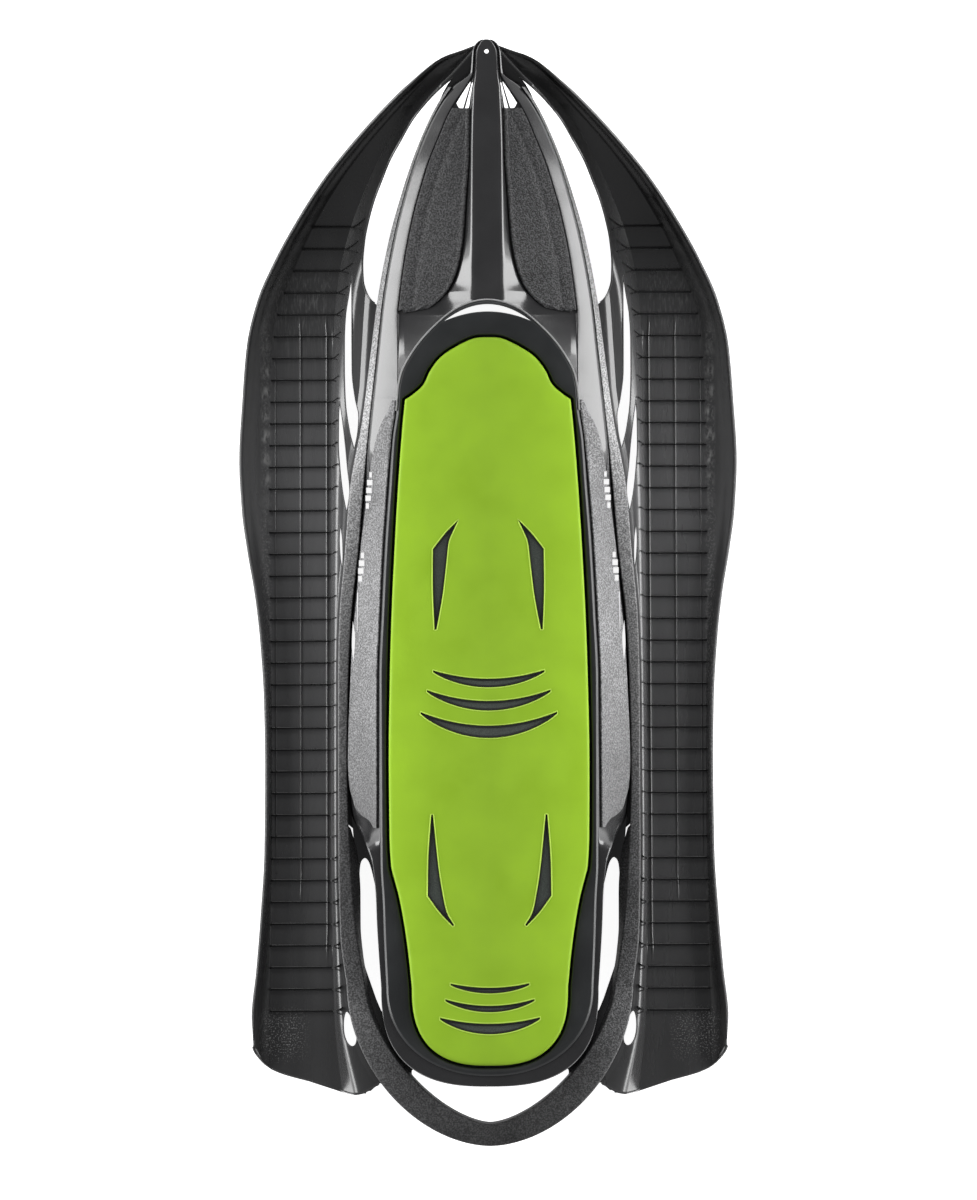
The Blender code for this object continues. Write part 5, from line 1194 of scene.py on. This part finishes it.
def foam(name, colour):
    """Closed-cell foam: a fine noise dents the skin, a cloud shifts the green, and the colour is darker
    towards the middle plane.
    """
    return plastic(name, colour, 0.62, 1300, 0.0001, 0.05, 0.4, axis="X",
                   along=[(-0.105, 1.0), (-0.06, 0.88), (0.0, 0.79), (0.06, 0.88), (0.105, 1.0)])


PAD_LIFT = 0.0036


def pad_level(line, rise):
    """Plan points at a rise above the pad's underside, which lies on the backing and two films of glue."""
    return lifted(line, seat_level(line, POCKET_DEPTH) + PAD_LIFT + rise)


pad_top_inner = [pad_edge * (share, 1 - (1 - share) * 0.17) for share in (0.93, 0.8, 0.6, 0.35, 0.0)]
pad_top_inner[-1][:, 1] = np.minimum.accumulate(pad_top_inner[-1][:, 1])
pad_section = [pad_level(pad_edge * (0, 1), 0), pad_level(grown(pad_edge, -0.0008), 0)]
pad_section += [pad_level(pad_edge, rise) for rise in (0.004, 0.0095)]
for inwards, rise in ((0.0006, 0.011), (0.0018, 0.0119), (0.0034, 0.0122)):
    pad_section.append(pad_level(grown(pad_edge, -inwards), rise))
for line, rise in zip(pad_top_inner, (0.3, 0.7, 0.9, 1.0, 1.0)):
    pad_section.append(pad_level(line, 0.0122 + 0.0008 * rise))
pad = moulded("pad", both(grid_part(pad_section)), 45)
marks = [np.array(mark) for mark in seat_marks()]
cut_away(pad, marks, 0.145, 0.18, 45)
green_foam = foam("green_foam", (0.275, 0.48, 0.0118))
fitted(pad, green_foam, "pad_foam", "seat_pad")
inlays, edges, lips = [], [], []
for mark in marks:
    smooth = np.where(np.linalg.norm(np.roll(mark, -1, axis=0) - mark, axis=1) > 1e-5)[0]
    ring = mark[smooth]
    side = np.roll(ring, -1, axis=0) - np.roll(ring, 1, axis=0)
    side = np.column_stack([side[:, 1], -side[:, 0]]) / (np.linalg.norm(side, axis=1)[:, None] + 1e-9)
    turning = np.cross(ring - ring.mean(axis=0), np.roll(ring, -1, axis=0) - ring.mean(axis=0)).sum()
    side *= np.sign(turning)
    inner = ring - side * 0.0011
    inlays.append(prism(on_seat(inner, 0.0095), on_seat(inner, -0.0022)))
    edges.append(tube(on_seat(inner, -0.0024), 0.0013, 6))
    lips.append(tube(lifted(ring + side * 0.0007, seat_level(ring, -0.0044)), 0.0007, 6))
fitted(moulded("mark_inlays", inlays), slate_foam, "backing_foam")
# The near-black tubes round the inside of each mark are painted shadow, where the cut's wall shades the
# slate.
mark_painted_shadow = plastic("mark_painted_shadow", (0.005, 0.0056, 0.005), 0.75, 1100, 0.0002, 0.15)
fitted(moulded("mark_shadow_edges", edges), mark_painted_shadow, "backing_foam")
# The pale green tubes along each mark's top edge are the pad's foam, painted lighter as a highlight.
lip_painted_highlight = foam("lip_painted_highlight", (0.48, 0.7, 0.09))
fitted(moulded("mark_highlight_lips", lips), lip_painted_highlight, "pad_foam")


# The screws. Zinc-plated steel, turned and hidden under the pad and under the flanges; the frame's own
# screws stay, with a worn plating.

zinc = plastic("zinc_plate", (0.56, 0.56, 0.55), 0.32, 800, 0.00004, 0.12)
zinc.node_tree.nodes["Principled BSDF"].inputs["Metallic"].default_value = 1.0
for name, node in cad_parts.items():
    if name.endswith("_screw"):
        node.data.materials.clear()
        node.data.materials.append(zinc)


# The studio. A pale floor that reads white, two broad soft lamps low at the sides, a dim soft sky that
# leaves flat black surfaces dark, and the camera straight above.

floor_mesh = bpy.data.meshes.new("floor")
floor_corners = [(x, y, -0.0005) for x, y in ((-8, -8), (8, -8), (8, 8), (-8, 8))]
floor_mesh.from_pydata(floor_corners, [], [(0, 1, 2, 3)])
floor = bpy.data.objects.new("floor", floor_mesh)
bpy.context.scene.collection.objects.link(floor)
paper = bpy.data.materials.new("paper")
paper.use_nodes = True
paper_tree = paper.node_tree
paper_shader = paper_tree.nodes["Principled BSDF"]
paper_shader.inputs["Base Color"].default_value = (0.8, 0.8, 0.8, 1)
paper_shader.inputs["Roughness"].default_value = 0.9
paper_shader.inputs["Specular IOR Level"].default_value = 0.1
paper_shader.inputs["Emission Color"].default_value = (1, 1, 1, 1)
rays = added(paper_tree, "LightPath").outputs
seen = worked(paper_tree, "MAXIMUM", rays["Is Camera Ray"], rays["Is Glossy Ray"])
seen = worked(paper_tree, "MAXIMUM", seen, rays["Is Transmission Ray"])
paper_tree.links.new(worked(paper_tree, "MULTIPLY", seen, 0.92), paper_shader.inputs["Emission Strength"])
floor.data.materials.append(paper)

world = bpy.data.worlds.new("sky")
bpy.context.scene.world = world
world.use_nodes = True
sky_tree = world.node_tree
sky = sky_tree.nodes["Background"]
toward = added(sky_tree, "TexCoord")
split = added(sky_tree, "SeparateXYZ", toward.outputs["Generated"])
band = added(sky_tree, "ValToRGB", split.outputs["Z"])
band.color_ramp.elements.new(0.55)
for stop, grey in zip(band.color_ramp.elements, ((1.0, 1.0, 1.0), (0.42, 0.42, 0.425), (0.16, 0.16, 0.165))):
    stop.color = (*grey, 1)
sky_tree.links.new(band.outputs["Color"], sky.inputs["Color"])
sky.inputs["Strength"].default_value = 1.0


def lamp(name, place, target, size, watts):
    light = bpy.data.lights.new(name, "AREA")
    light.shape = "RECTANGLE"
    light.size, light.size_y = size
    light.energy = watts
    item = bpy.data.objects.new(name, light)
    bpy.context.scene.collection.objects.link(item)
    item.location = place
    aim = np.array(target) - np.array(place)
    item.rotation_euler = (math.atan2(math.hypot(aim[0], aim[1]), -aim[2]), 0,
                           math.atan2(aim[1], aim[0]) - math.pi / 2)
    return item


lamp("left_softbox", (-2.2, 0.1, 0.8), (0, 0, 0.05), (2.4, 1.3), 74)
lamp("right_softbox", (2.2, 0.1, 0.8), (0, 0, 0.05), (2.4, 1.3), 74)
lamp("top_softbox", (0.0, 2.6, 1.8), (0, 0, 0.05), (2.0, 0.8), 26)

view = bpy.data.cameras.new("camera")
view.sensor_width = 36
view.lens = 700.1
view.clip_end = 60
camera = bpy.data.objects.new("camera", view)
bpy.context.scene.collection.objects.link(camera)
camera.location = (0.0, -0.0075, 25.0)
camera.rotation_euler = (0, 0, math.radians(-0.21))
bpy.context.scene.camera = camera
bpy.context.scene.view_settings.view_transform = "Standard"
